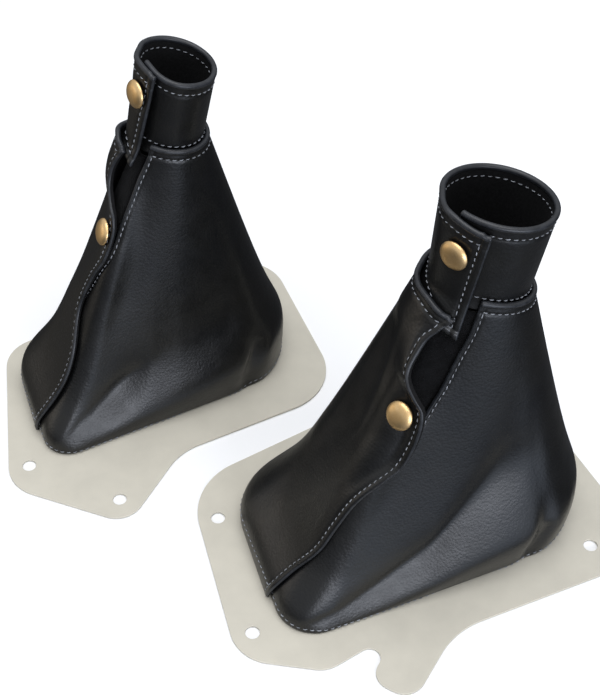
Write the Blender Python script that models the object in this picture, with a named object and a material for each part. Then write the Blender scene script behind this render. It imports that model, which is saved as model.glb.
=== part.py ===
"""A pair of leather lever boots, each standing on its own thin screw-down plate.

Each boot is a skirt that tapers from a rounded four-sided hem to a ring, with a collar
band above it. The skirt is one panel wrapped a little more than once round: it starts at
a straight stitched edge at the left of the front and ends in a wavy flap that lies over
that start. The collar band is wound the same way, and its outer end is a pointed tab.
A suede strip closes the gap between the two ends of the skirt, and two domed snaps hold
the tab and the flap. The wide boot and the slim boot share every function below and
differ only in their sizes.

All sizes are in millimetres in the boot's own frame: +X along its long side, towards the
end that the collar leans to, +Y to the rear, +Z up, with the middle of the hem near 0, 0.
The slim boot's x and y are its place as seen from the wide boot.
A turn is an angle in degrees round the boot, counterclockwise from +X as seen from above.
A rise is a height as a share of the skirt's height, from 0 at the hem to 1 at the seam.
"""

from collections import namedtuple

import bmesh
import bpy
import numpy as np

MM = 0.001

# Thicknesses, and the gaps that part pieces which touch: between any two of them, between
# the skirt and the collar inside it, and between the skirt and the suede under it
PLATE = 1.0
LEATHER = 1.6
SUEDE = 1.2
GAP = 0.35
SEAM_GAP = 0.75
SUEDE_GAP = 0.65

# The rolled edges: a turned-over bead along the top of the skirt and of the collar
SEAM_ROLL = 1.25
RIM_ROLL = 1.25
ROLL_POINTS = 5

# How far the collar's lower edge reaches down inside the skirt
COLLAR_TUCK = 4.0

# How much further in the tucked edge lies where the skirt slopes, as the skirt's leather
# takes up more of a level line there
SLOPE_CLEARANCE = 0.5

# Where the layers lie: how far the flap stands off the layer below it, over how much of
# its width its free edge curls away, over what turn it can lie straight across the boot's
# corner, with what share of that turn to bend into it, and how far the tab stands off the
# rim it lies over
FLAP_LIFT = LEATHER + 0.5
CURL_REACH = 24.0
FLAT_TURN = 24.0
FLAT_BEND = 0.35
RIM_LAP = 2 * RIM_ROLL + GAP

# How the skirt's top edge drops to the flap's corner: most of the drop over a broad share
# of the skirt, and the rest over a narrow one close to the corner
BROAD_SHARE = 0.45
NARROW_SHARE = 0.1
BROAD_DROP = 0.7

# The strip of suede: how far it reaches under the skirt's start, and beyond it, the
# last of these as a length near the seam and at the hem, and as a turn at most
SUEDE_TUCK = 9.0
SUEDE_REACH = 30.0
SUEDE_HEM_REACH = 15.0
SUEDE_REACH_TURN = 34.0

# The domed snap caps, the screw holes and the margin of the hem round the plate's opening
CAP_RADIUS = 6.25
CAP_HEIGHT = 2.8
CAP_SIDES = 16
CAP_SEAT = 5.0
HOLE_RADIUS = 3.3
HOLE_SIDES = 20
HEM_LEDGE = 11.0

# Where the wall's facets lie: rows up the skirt and the collar, columns round them
SKIRT_RISES = (
    0.0, 0.03, 0.07, 0.125, 0.19, 0.28, 0.39, 0.5,
    0.59, 0.665, 0.73, 0.79, 0.85, 0.92, 1.0,
)
COLLAR_RISES = (0.0, 0.14, 0.5, 0.85, 1.0)
HEM_STEP = 10.0
LAP_TURN = 40.0
LAP_STEP = 5.5
ROUND_STEP = 10.5
LEAST_STEP = 3.0
COLLAR_COLUMNS = 44
SUEDE_COLUMNS = 8

# How softly the wall bends at its shoulder, and over what share of the rise the shelf
# above the shoulder runs out
KNEE = 0.02
SHELF_RUN = 0.12

# Where the wide boot stands, so that the middle of the two plates is at 0, 0
SHIFT = (33.42, -54.21)

Corner = namedtuple("Corner", "x y radius")
Ring = namedtuple("Ring", "x y z lean_x lean_y radius")
Shoulder = namedtuple("Shoulder", "turn height shelf bulge")
Fold = namedtuple("Fold", "turn_a height_a turn_b height_b half_width depth")
EdgePoint = namedtuple("EdgePoint", "rise turn")
Lift = namedtuple("Lift", "rise lift")
Flat = namedtuple("Flat", "rise share")
Tab = namedtuple(
    "Tab", "under_turn ramp_turn over_turn top_turn tip_turn tip_drop top_drop lap press"
)
Snap = namedtuple("Snap", "turn rise")
Boot = namedtuple(
    "Boot",
    "name x y heading hem foot seam rim shoulders folds start_edge flap_edge "
    "edge_lifts flats flap_ramp top_lift corner_drop tab tab_snap flap_snap plate holes",
)

WIDE = Boot(
    name="wide",
    x=0.0,
    y=0.0,
    heading=0.0,
    hem=(
        Corner(79.5, -44.5, 40),
        Corner(79.5, 45, 34),
        Corner(-68.2, 45, 26),
        Corner(-78.3, -44.5, 18),
    ),
    foot=(20.0, 0.0),
    seam=Ring(22.5, 0, 148.3, 17, 7, 23.2),
    rim=Ring(26.8, 0, 187.2, 10.5, 4.5, 22.3),
    shoulders=(
        Shoulder(0, 26, 3, 1.6),
        Shoulder(60, 16, 4, 2.0),
        Shoulder(120, 16, 12, 1.0),
        Shoulder(170, 14, 15, 0.5),
        Shoulder(204, 8, 10, 0.5),
        Shoulder(250, 18, 7, 2.5),
        Shoulder(300, 25, 6, 3.0),
        Shoulder(330, 26, 3, 1.6),
    ),
    folds=(
        Fold(206, 3, 222, 19, 6, -2.0),
        Fold(222, 19, 245, 38, 8, -3.0),
        Fold(245, 38, 272, 60, 10, -3.0),
        Fold(295, 0, 303, 36, 5, -3.0),
    ),
    start_edge=(
        EdgePoint(0.0, 170.0),
        EdgePoint(0.1, 175.0),
        EdgePoint(0.2, 181.5),
        EdgePoint(0.3, 188.0),
        EdgePoint(0.4, 195.0),
        EdgePoint(0.5, 203.5),
        EdgePoint(0.55, 208.5),
        EdgePoint(0.603, 213.8),
        EdgePoint(0.643, 216.4),
        EdgePoint(0.688, 219.0),
        EdgePoint(0.72, 221.5),
        EdgePoint(0.77, 224.5),
        EdgePoint(0.835, 229.1),
        EdgePoint(0.9, 235.3),
        EdgePoint(1.0, 241.5),
    ),
    flap_edge=(
        EdgePoint(0.0, 190.3),
        EdgePoint(0.06, 192.3),
        EdgePoint(0.136, 194.9),
        EdgePoint(0.229, 199.3),
        EdgePoint(0.313, 201.2),
        EdgePoint(0.409, 204.0),
        EdgePoint(0.492, 208.5),
        EdgePoint(0.535, 210.7),
        EdgePoint(0.573, 211.2),
        EdgePoint(0.645, 211.3),
        EdgePoint(0.693, 210.5),
        EdgePoint(0.736, 208.2),
        EdgePoint(0.787, 204.1),
        EdgePoint(0.836, 204.4),
        EdgePoint(0.898, 208.9),
        EdgePoint(0.948, 221.7),
        EdgePoint(1.0, 231.0),
    ),
    edge_lifts=(
        Lift(0.0, 2.1),
        Lift(0.3, 2.6),
        Lift(0.5, 6.0),
        Lift(0.6, 9.5),
        Lift(0.7, 11.0),
        Lift(0.8, 6.5),
        Lift(0.9, 3.2),
        Lift(1.0, 2.5),
    ),
    flats=(
        Flat(0.0, 0.0),
        Flat(0.3, 0.0),
        Flat(0.5, 0.6),
        Flat(0.6, 1.0),
        Flat(0.76, 1.0),
        Flat(0.88, 0.3),
        Flat(0.95, 0.0),
        Flat(1.0, 0.0),
    ),
    flap_ramp=(140.0, 181.0),
    top_lift=2.5,
    corner_drop=0.06,
    tab=Tab(197.0, 150.0, 190.0, 235.0, 229.0, 17.5, 3.7, 2.5, 1.0),
    tab_snap=Snap(206.0, 0.70),
    flap_snap=Snap(201.5, 0.665),
    plate=(
        Corner(-100.7, -41.2, 20),
        Corner(-67, -61.6, 14),
        Corner(-28.4, -54.8, 4.8),
        Corner(-52, -72.5, 8),
        Corner(-39.3, -89.5, 10),
        Corner(-6.6, -65.2, 40),
        Corner(98, -65, 21),
        Corner(91.5, 70, 30),
        Corner(3, 70, 80),
        Corner(-86.9, 56.7, 32),
    ),
    holes=((-80.9, 33.0), (-89.6, -31.3), (73.0, -48.8)),
)

SLIM = Boot(
    name="slim",
    x=-77.5,
    y=134.5,
    heading=4.5,
    hem=(
        Corner(70, -35, 35),
        Corner(70, 36, 32),
        Corner(-58.4, 36, 24),
        Corner(-69.5, -35, 13),
    ),
    foot=(17.0, 0.0),
    seam=Ring(17.5, 0, 147.8, 9, -4, 17.2),
    rim=Ring(21.6, -1, 182.6, 14, -6.4, 16.4),
    shoulders=(
        Shoulder(0, 26, 4, 1.2),
        Shoulder(60, 16, 4, 1.5),
        Shoulder(120, 16, 8, 1.0),
        Shoulder(170, 14, 11, 0.5),
        Shoulder(204, 8, 8, 0.5),
        Shoulder(250, 18, 6, 2.5),
        Shoulder(300, 24, 6, 2.5),
        Shoulder(330, 26, 4, 1.2),
    ),
    folds=(
        Fold(203, 2, 212, 28, 7, -2.5),
        Fold(212, 28, 240, 42, 9, -2.5),
        Fold(240, 42, 318, 50, 12, -2.5),
        Fold(301, 0, 309, 32, 5, -3.0),
    ),
    start_edge=(
        EdgePoint(0.0, 166.0),
        EdgePoint(0.15, 170.0),
        EdgePoint(0.3, 176.0),
        EdgePoint(0.45, 182.0),
        EdgePoint(0.57, 190.0),
        EdgePoint(0.666, 197.2),
        EdgePoint(0.742, 199.0),
        EdgePoint(0.826, 202.0),
        EdgePoint(0.907, 206.0),
        EdgePoint(1.0, 215.0),
    ),
    flap_edge=(
        EdgePoint(0.0, 188.5),
        EdgePoint(0.06, 190.5),
        EdgePoint(0.16, 194.0),
        EdgePoint(0.251, 195.8),
        EdgePoint(0.337, 194.3),
        EdgePoint(0.419, 187.9),
        EdgePoint(0.555, 191.8),
        EdgePoint(0.645, 198.4),
        EdgePoint(0.706, 199.5),
        EdgePoint(0.756, 198.8),
        EdgePoint(0.782, 196.2),
        EdgePoint(0.808, 188.4),
        EdgePoint(0.839, 180.9),
        EdgePoint(0.881, 178.1),
        EdgePoint(0.926, 181.6),
        EdgePoint(0.982, 191.8),
        EdgePoint(1.0, 195.0),
    ),
    edge_lifts=(
        Lift(0.0, 2.1),
        Lift(0.3, 2.4),
        Lift(0.5, 2.6),
        Lift(0.68, 3.2),
        Lift(0.78, 4.0),
        Lift(0.86, 5.0),
        Lift(1.0, 5.0),
    ),
    flats=(
        Flat(0.0, 0.0),
        Flat(1.0, 0.0),
    ),
    flap_ramp=(125.0, 158.0),
    top_lift=5.0,
    corner_drop=0.045,
    tab=Tab(178.0, 135.0, 172.0, 216.0, 200.0, 10.0, 0.0, 5.0, 3.2),
    tab_snap=Snap(186.0, 0.72),
    flap_snap=Snap(191.0, 0.71),
    plate=(
        Corner(-50, -84.6, 13),
        Corner(-10.2, -56.5, 30),
        Corner(79.7, -57, 30),
        Corner(92.5, 56.3, 25),
        Corner(-62.1, 46.7, 18),
        Corner(-92, -38.8, 20),
    ),
    holes=((-78.8, -30.9), (-48.0, -69.7)),
)


# ---------------------------------------------------------------------------
# Small geometry helpers
# ---------------------------------------------------------------------------


def through(x, xs, ys):
    """A smooth curve through the rows (xs, ys), read at x."""
    xs = np.asarray(xs, float)
    ys = np.asarray(ys, float)
    slope = np.gradient(ys, xs)
    i = np.clip(np.searchsorted(xs, x, side="right") - 1, 0, len(xs) - 2)
    run = xs[i + 1] - xs[i]
    t = np.clip((x - xs[i]) / run, 0.0, 1.0)
    start = (1 + 2 * t) * (1 - t) ** 2 * ys[i] + t * (1 - t) ** 2 * run * slope[i]
    end = t * t * (3 - 2 * t) * ys[i + 1] + t * t * (t - 1) * run * slope[i + 1]
    return start + end


def round_the_boot(turn, turns, values):
    """A smooth closed curve through the rows, read at the turn."""
    turns = list(turns)
    values = list(values)
    wrapped = [t - 360 for t in turns[-2:]] + turns + [t + 360 for t in turns[:2]]
    return through(np.mod(turn, 360), wrapped, values[-2:] + values + values[:2])


def ease(x):
    """0 below 0, 1 above 1, and a smooth step between."""
    x = np.clip(x, 0.0, 1.0)
    return x * x * (3 - 2 * x)


def outward(turn):
    """The level direction that points out of the boot at the turn."""
    angle = np.radians(turn)
    return np.stack([np.cos(angle), np.sin(angle), np.zeros_like(angle)], -1)


def unit(vectors):
    return vectors / np.linalg.norm(vectors, axis=-1, keepdims=True)


def rounded(corners, step=6.0):
    """A closed outline through the corners, each turned with its radius.

    A point is set at most one step apart along each arc. A corner may turn either way.
    """
    outline = []
    for i, corner in enumerate(corners):
        before = corners[i - 1]
        after = corners[(i + 1) % len(corners)]
        here = np.array([corner.x, corner.y], float)
        back = unit(np.array([before.x, before.y], float) - here)
        ahead = unit(np.array([after.x, after.y], float) - here)
        half = np.arccos(np.clip(back @ ahead, -1.0, 1.0)) / 2
        reach = corner.radius / np.tan(half)
        centre = here + unit(back + ahead) * corner.radius / np.sin(half)
        arm = here + back * reach - centre
        other = here + ahead * reach - centre
        first = np.arctan2(arm[1], arm[0])
        sweep = (np.arctan2(other[1], other[0]) - first + np.pi) % (2 * np.pi) - np.pi
        pieces = max(2, int(np.ceil(abs(sweep) * corner.radius / step)))
        for k in range(pieces + 1):
            angle = first + sweep * k / pieces
            outline.append(centre + corner.radius * np.array([np.cos(angle), np.sin(angle)]))
    return np.array(outline)


def hem_radius(boot, turn):
    """How far the hem lies from the foot of the collar's axis, at the turn."""
    outline = rounded(boot.hem, step=2.0)
    ahead = np.roll(outline, -1, axis=0)
    shares = np.linspace(0, 1, 20, endpoint=False)
    fine = outline[:, None] + (ahead - outline)[:, None] * shares[None, :, None]
    from_foot = fine.reshape(-1, 2) - np.array(boot.foot)
    angle = np.degrees(np.arctan2(from_foot[:, 1], from_foot[:, 0])) % 360
    order = np.argsort(angle)
    radius = np.hypot(from_foot[:, 0], from_foot[:, 1])
    return np.interp(np.mod(turn, 360), angle[order], radius[order], period=360)


def ring_height(ring, turn, radius):
    """The height of a leaning ring at the turn."""
    level = radius[..., None] * outward(turn)
    down_x = np.tan(np.radians(ring.lean_x)) * level[..., 0]
    down_y = np.tan(np.radians(ring.lean_y)) * level[..., 1]
    return ring.z - down_x - down_y


# ---------------------------------------------------------------------------
# The leather's surfaces
# ---------------------------------------------------------------------------


def fold_depth(boot, turn, height, radius):
    """How far the boot's folds push the wall out, at points of the wall."""
    push = np.zeros_like(radius)
    for fold in boot.folds:
        across = np.radians((turn - fold.turn_a + 180) % 360 - 180) * radius
        up = height - fold.height_a
        run = np.radians(fold.turn_b - fold.turn_a) * radius
        climb = fold.height_b - fold.height_a
        along = np.clip((across * run + up * climb) / (run * run + climb * climb), 0, 1)
        away = np.hypot(across - along * run, up - along * climb)
        fade = 0.35 + 0.65 * np.sin(np.pi * along)
        push += fold.depth * fade * np.exp(-((away / fold.half_width) ** 2))
    return push


def wall(boot, turn, rise):
    """Points of the skirt's outer face where it is a single layer.

    From the hem the wall climbs to its shoulder, bends in over a shelf, and then runs
    straight to the seam.
    """
    turn, rise = np.broadcast_arrays(np.asarray(turn, float), np.asarray(rise, float))
    turns = [row.turn for row in boot.shoulders]
    seam_radius = np.full_like(turn, boot.seam.radius)
    height = ring_height(boot.seam, turn, seam_radius)
    shoulder = round_the_boot(turn, turns, [row.height for row in boot.shoulders]) / height
    shelf = round_the_boot(turn, turns, [row.shelf for row in boot.shoulders])
    bulge = round_the_boot(turn, turns, [row.bulge for row in boot.shoulders])
    span = hem_radius(boot, turn) - seam_radius
    above = KNEE * np.logaddexp(0, (rise - shoulder) / KNEE)
    climb = above / (KNEE * np.logaddexp(0, (1 - shoulder) / KNEE))
    shelf_share = shelf / span
    shelf_run = (1 - np.exp(-climb / SHELF_RUN)) / (1 - np.exp(-1 / SHELF_RUN))
    share = 1 - shelf_share * shelf_run - (1 - shelf_share) * climb
    lower = rise / shoulder
    radius = seam_radius + span * share + bulge * lower * np.exp(1 - lower)
    radius = radius + fold_depth(boot, turn, rise * height, radius)
    centre_x = boot.foot[0] + (boot.seam.x - boot.foot[0]) * rise
    centre_y = boot.foot[1] + (boot.seam.y - boot.foot[1]) * rise
    points = radius[..., None] * outward(turn)
    points[..., 0] += centre_x
    points[..., 1] += centre_y
    points[..., 2] = rise * height + PLATE + GAP
    return points


def wall_normal(boot, turn, rise):
    """The direction out of the wall."""
    d_turn = wall(boot, turn + 0.5, rise) - wall(boot, turn - 0.5, rise)
    d_rise = wall(boot, turn, rise + 0.004) - wall(boot, turn, rise - 0.004)
    return unit(np.cross(d_turn, d_rise))


def edge_turn(rows, rise):
    return through(np.asarray(rise, float), [r.rise for r in rows], [r.turn for r in rows])


def resting_lift(boot, turn, rise):
    """How far the flap stands off the single layer where it lies on what is under it.

    The turn runs on past 360 degrees.
    """
    start = edge_turn(boot.start_edge, rise)
    edge = edge_turn(boot.flap_edge, rise)
    over_tab = ease((rise - 0.78) / 0.12)
    last = np.minimum(start, edge) - 4
    first = last - 24
    first = first + (np.minimum(first, boot.flap_ramp[0]) - first) * over_tab
    last = last + (np.minimum(last, boot.flap_ramp[1]) - last) * over_tab
    lying = FLAP_LIFT + (boot.top_lift - FLAP_LIFT) * over_tab
    return lying * ease((turn - 360 - first) / (last - first)), lying


def flap_lift(boot, turn, rise):
    """How far the flap stands off the single layer, with its free edge curled away."""
    resting, lying = resting_lift(boot, turn, rise)
    edge = edge_turn(boot.flap_edge, rise)
    free = through(rise, [r.rise for r in boot.edge_lifts], [r.lift for r in boot.edge_lifts])
    from_edge = np.radians(edge + 360 - turn) * wall_radius(boot, edge, rise)
    curl = np.clip(1 - from_edge / CURL_REACH, 0, 1) ** 2
    return resting + (free - lying) * curl


def wall_radius(boot, turn, rise):
    """How far the wall lies from the foot of the collar's axis."""
    points = wall(boot, turn, rise)
    return np.hypot(points[..., 0] - boot.foot[0], points[..., 1] - boot.foot[1])


def lifted_wall(boot, turn, rise):
    """Points of the wall, moved out by the lift of the flap."""
    lift = flap_lift(boot, turn, rise)[..., None]
    return wall(boot, turn, rise) + lift * wall_normal(boot, turn, rise)


def lapped_wall(boot, turn, rise):
    """Points of the skirt's outer face, where turn runs on past 360 degrees in the flap.

    The flap follows the wall, and where it is stiff it lies straight up to its edge.
    """
    turn, rise = np.broadcast_arrays(np.asarray(turn, float), np.asarray(rise, float))
    edge = edge_turn(boot.flap_edge, rise) + 360
    along = np.clip(1 - (edge - turn) / FLAT_TURN, 0, None)
    flat = through(rise, [r.rise for r in boot.flats], [r.share for r in boot.flats])
    share = (flat * ease(along / FLAT_BEND))[..., None]
    near = lifted_wall(boot, edge - FLAT_TURN, rise)
    straight = near + (lifted_wall(boot, edge, rise) - near) * along[..., None]
    points = lifted_wall(boot, turn, rise)
    move = share * (straight - points)
    normal = wall_normal(boot, turn, rise)
    lift = flap_lift(boot, turn, rise) + np.sum(move * normal, -1)
    sunk = np.minimum(0, lift - resting_lift(boot, turn, rise)[0])[..., None]
    return points + move - np.where(share > 0, sunk, 0) * normal


def skirt_columns(boot):
    """Shares of the way round the skirt where its facets meet.

    They follow the hem's rounded corners, and lie closer together where the ends lap.
    """
    first = boot.start_edge[0].turn
    last = boot.flap_edge[0].turn + 360
    outline = rounded(boot.hem, HEM_STEP) - np.array(boot.foot)
    turns = np.degrees(np.arctan2(outline[:, 1], outline[:, 0])) % 360
    marks = [first]
    for turn in sorted([*turns, *(turns + 360)]):
        if marks[-1] + LEAST_STEP < turn < last - LEAST_STEP:
            marks.append(turn)
    marks.append(last)
    columns = []
    for here, following in zip(marks, marks[1:]):
        lapped = min(here - first, last - following) < LAP_TURN
        pieces = int(np.ceil((following - here) / (LAP_STEP if lapped else ROUND_STEP)))
        columns.extend(here + (following - here) * k / pieces for k in range(pieces))
    columns.append(last)
    return (np.array(columns) - first) / (last - first)


def corner_share(away):
    """How much of the corner's drop the top edge has, at a share of the skirt away."""
    broad = ease(1 - away / BROAD_SHARE)
    narrow = ease(1 - away / NARROW_SHARE)
    return BROAD_DROP * broad + (1 - BROAD_DROP) * narrow


def skirt_face(boot, share, level):
    """Points, outward directions and upward directions of the skirt's outer face.

    The share runs from 0 at the start edge to 1 at the flap's edge, and the level from 0
    at the hem to 1 at the top edge, which drops towards the flap's corner.
    """
    share, level = np.broadcast_arrays(np.asarray(share, float), np.asarray(level, float))
    drop = boot.corner_drop * corner_share(1 - share)
    rise = level * (1 - drop * ease((level - 0.6) / 0.4))
    start = edge_turn(boot.start_edge, rise)
    turn = start + (edge_turn(boot.flap_edge, rise) + 360 - start) * share
    points = lapped_wall(boot, turn, rise)
    along = lapped_wall(boot, turn + 0.4, rise) - lapped_wall(boot, turn - 0.4, rise)
    up = lapped_wall(boot, turn, rise + 0.003) - lapped_wall(boot, turn, rise - 0.003)
    return points, unit(np.cross(along, up)), unit(up)


def collar_face(boot, share, level):
    """Points and directions of the collar's outer face, from its inner end to the tab."""
    share, level = np.broadcast_arrays(np.asarray(share, float), np.asarray(level, float))
    tab = boot.tab
    top_end = tab.top_turn + 360
    tip_end = tab.tip_turn + 360
    end = tip_end + (top_end - tip_end) * level
    turn = tab.under_turn + (end - tab.under_turn) * share
    seam_radius = np.full_like(turn, boot.seam.radius - LEATHER - SEAM_GAP)
    rim_radius = np.full_like(turn, boot.rim.radius + LEATHER / 2)
    seam_z = ring_height(boot.seam, turn, seam_radius) + PLATE + GAP
    rim_z = ring_height(boot.rim, turn, rim_radius) + PLATE + GAP
    lap = ease((turn - 360 - tab.ramp_turn) / (tab.over_turn - tab.ramp_turn))
    gentle = ease(1 - (top_end - turn) / (BROAD_SHARE * 360))
    along = 0.35 * gentle + 0.65 * ease(1 - (top_end - turn) / 50)
    low = seam_z - COLLAR_TUCK - (tab.tip_drop - COLLAR_TUCK) * along
    high = rim_z - tab.top_drop * along
    height = low + (high - low) * level
    climb = (height - seam_z) / (rim_z - seam_z)
    up_share = np.clip(climb, 0, 1)
    radius = seam_radius + (rim_radius - seam_radius) * up_share
    rise = np.clip((height - PLATE - GAP) / (seam_z - PLATE - GAP), 0, 1)
    flare = wall(boot, turn, rise) - wall(boot, turn, np.ones_like(rise))
    flare = np.hypot(flare[..., 0], flare[..., 1])
    flare = flare - SLOPE_CLEARANCE * (1 - np.exp(-flare))
    stand_off = tab.lap + (RIM_LAP - tab.lap) * up_share
    away = np.abs((turn - boot.tab_snap.turn + 180) % 360 - 180)
    press = tab.press * up_share * ease(1 - away / 70)
    radius = radius + flare + lap * stand_off - press
    centre_x = boot.seam.x + (boot.rim.x - boot.seam.x) * climb
    centre_y = boot.seam.y + (boot.rim.y - boot.seam.y) * climb
    points = radius[..., None] * outward(turn)
    points[..., 0] += centre_x
    points[..., 1] += centre_y
    points[..., 2] = height
    return points


def face_directions(face, boot, share, level):
    """The outward and upward directions of a face, read from points close by."""
    step = 0.002
    d_share = face(boot, share + step, level) - face(boot, share - step, level)
    d_level = face(boot, share, level + step) - face(boot, share, level - step)
    return unit(np.cross(d_share, d_level)), unit(d_level)


# ---------------------------------------------------------------------------
# Solids from sections
# ---------------------------------------------------------------------------


def rolled_section(outer, normal, up, thickness, roll, inner_roll):
    """The wall's section at one column: up its outer face, over the roll, down inside.

    The roll is a round bead of the given radius. The inner roll says how far the bead
    stands out of the wall's inner face.
    """
    inner = outer - thickness * normal
    top_inner = inner[-1] - inner_roll * normal[-1]
    centre = top_inner + roll * normal[-1]
    first = -np.arccos(np.clip(((outer[-1] - centre) @ normal[-1]) / roll, -1, 1))
    last = np.pi + np.arccos(np.clip(((centre - inner[-1]) @ normal[-1]) / roll, -1, 1))
    centre = centre - up[-1] * roll * np.sin(first)
    angles = np.linspace(first, last, ROLL_POINTS + 2)[1:-1]
    bead = [centre + roll * (np.cos(a) * normal[-1] + np.sin(a) * up[-1]) for a in angles]
    return np.vstack([outer, bead, inner[::-1]])


def solid_from_sections(name, sections, rows):
    """A closed solid through the section loops, with a cap at each end.

    Each loop starts with its rows up the outer face and ends with as many down the inner
    face, so a cap is a ladder of faces between them.
    """
    mesh = bpy.data.meshes.new(name)
    build = bmesh.new()
    loops = [[build.verts.new(point * MM) for point in section] for section in sections]
    for loop, following in zip(loops, loops[1:]):
        for k in range(len(loop)):
            after = (k + 1) % len(loop)
            build.faces.new((loop[k], following[k], following[after], loop[after]))
    for loop in (loops[0], loops[-1][::-1]):
        for k in range(rows - 1):
            build.faces.new((loop[k], loop[k + 1], loop[-2 - k], loop[-1 - k]))
        if len(loop) > 2 * rows:
            build.faces.new(loop[rows - 1 : len(loop) - rows + 1])
    bmesh.ops.triangulate(build, faces=build.faces[:])
    bmesh.ops.recalc_face_normals(build, faces=build.faces[:])
    build.to_mesh(mesh)
    build.free()
    piece = bpy.data.objects.new(name, mesh)
    bpy.context.collection.objects.link(piece)
    mesh.shade_smooth()
    mesh.set_sharp_from_angle(angle=np.radians(40))
    return piece


def prism(name, outline, low, high):
    """A solid with the outline, between two heights."""
    mesh = bpy.data.meshes.new(name)
    build = bmesh.new()
    floor = build.faces.new([build.verts.new((x * MM, y * MM, low * MM)) for x, y in outline])
    raised = bmesh.ops.extrude_face_region(build, geom=[floor])["geom"]
    corners = [item for item in raised if isinstance(item, bmesh.types.BMVert)]
    bmesh.ops.translate(build, verts=corners, vec=(0, 0, (high - low) * MM))
    bmesh.ops.recalc_face_normals(build, faces=build.faces[:])
    build.to_mesh(mesh)
    build.free()
    piece = bpy.data.objects.new(name, mesh)
    bpy.context.collection.objects.link(piece)
    return piece


def cut(piece, cutter):
    """Takes the cutter out of the piece, and keeps the cutter as a hidden guide."""
    cutter.hide_render = True
    cutter.display_type = "WIRE"
    cutter.parent = piece
    difference = piece.modifiers.new(cutter.name, "BOOLEAN")
    difference.operation = "DIFFERENCE"
    difference.solver = "EXACT"
    difference.object = cutter


def stand(piece, boot):
    """Puts a piece, made in the boot's own frame, in the boot's place in the pair."""
    piece.location = ((boot.x + SHIFT[0]) * MM, (boot.y + SHIFT[1]) * MM, 0)
    piece.rotation_euler = (0, 0, np.radians(boot.heading))


# ---------------------------------------------------------------------------
# Materials
# ---------------------------------------------------------------------------


def finish(name, colour, roughness, metallic=0.0):
    material = bpy.data.materials.new(name)
    material.use_nodes = True
    shader = material.node_tree.nodes["Principled BSDF"]
    shader.inputs["Base Color"].default_value = (*colour, 1.0)
    shader.inputs["Roughness"].default_value = roughness
    shader.inputs["Metallic"].default_value = metallic
    return material


# ---------------------------------------------------------------------------
# The pieces of a boot
# ---------------------------------------------------------------------------


def make_plate(boot, material):
    """The thin plate, open under the boot and drilled for its screws."""
    plate = prism(boot.name + "_plate", rounded(boot.plate), 0.0, PLATE)
    ledge = [Corner(*corner) for corner in inset_corners(boot.hem, HEM_LEDGE)]
    cut(plate, prism(boot.name + "_opening_cutter", rounded(ledge), -PLATE, 2 * PLATE))
    angles = np.linspace(0, 2 * np.pi, HOLE_SIDES, endpoint=False)
    for number, (x, y) in enumerate(boot.holes, 1):
        ring = np.stack([x + HOLE_RADIUS * np.cos(angles), y + HOLE_RADIUS * np.sin(angles)], -1)
        cut(plate, prism(f"{boot.name}_hole_cutter_{number}", ring, -PLATE, 2 * PLATE))
    plate.data.materials.append(material)
    stand(plate, boot)


def inset_corners(corners, inset):
    """The corners moved in towards the middle, each with its radius made smaller."""
    middle_x = sum(corner.x for corner in corners) / len(corners)
    middle_y = sum(corner.y for corner in corners) / len(corners)
    for corner in corners:
        yield (
            corner.x - inset * np.sign(corner.x - middle_x),
            corner.y - inset * np.sign(corner.y - middle_y),
            corner.radius - inset,
        )


def make_skirt(boot, material):
    """The skirt, from its stitched start round the boot to the edge of the flap."""
    levels = np.array(SKIRT_RISES)
    sections = []
    for share in skirt_columns(boot):
        points, normal, up = skirt_face(boot, share, levels)
        sections.append(rolled_section(points, normal, up, LEATHER, SEAM_ROLL, 0.0))
    skirt = solid_from_sections(boot.name + "_skirt", sections, len(levels))
    skirt.data.materials.append(material)
    stand(skirt, boot)


def make_underlap(boot, material):
    """The suede strip that lies under the skirt's start edge and reaches under the flap."""
    levels = np.array(SKIRT_RISES[:-1])
    levels[-1] = 1 - (COLLAR_TUCK + 3 * GAP) / boot.seam.z
    start = edge_turn(boot.start_edge, levels)
    reach = np.degrees(1 / wall_radius(boot, start, levels))
    length = SUEDE_HEM_REACH + (SUEDE_REACH - SUEDE_HEM_REACH) * levels
    first = start - np.minimum(length * reach, SUEDE_REACH_TURN)
    last = start + SUEDE_TUCK * reach
    sections = []
    for share in np.linspace(0, 1, SUEDE_COLUMNS + 1):
        turn = first + (last - first) * share
        normal = wall_normal(boot, turn, levels)
        outer = wall(boot, turn, levels) - (LEATHER + SUEDE_GAP) * normal
        sections.append(np.vstack([outer, (outer - SUEDE * normal)[::-1]]))
    underlap = solid_from_sections(boot.name + "_underlap", sections, len(levels))
    underlap.data.materials.append(material)
    stand(underlap, boot)


def make_collar(boot, material):
    """The collar band, wound once round and on to the end of the tab."""
    levels = np.array(COLLAR_RISES)
    sections = []
    for share in np.linspace(0, 1, COLLAR_COLUMNS + 1):
        points = collar_face(boot, share, levels)
        normal, up = face_directions(collar_face, boot, share, levels)
        inner_roll = RIM_ROLL - LEATHER / 2
        sections.append(rolled_section(points, normal, up, LEATHER, RIM_ROLL, inner_roll))
    collar = solid_from_sections(boot.name + "_collar", sections, len(levels))
    collar.data.materials.append(material)
    stand(collar, boot)


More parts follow.
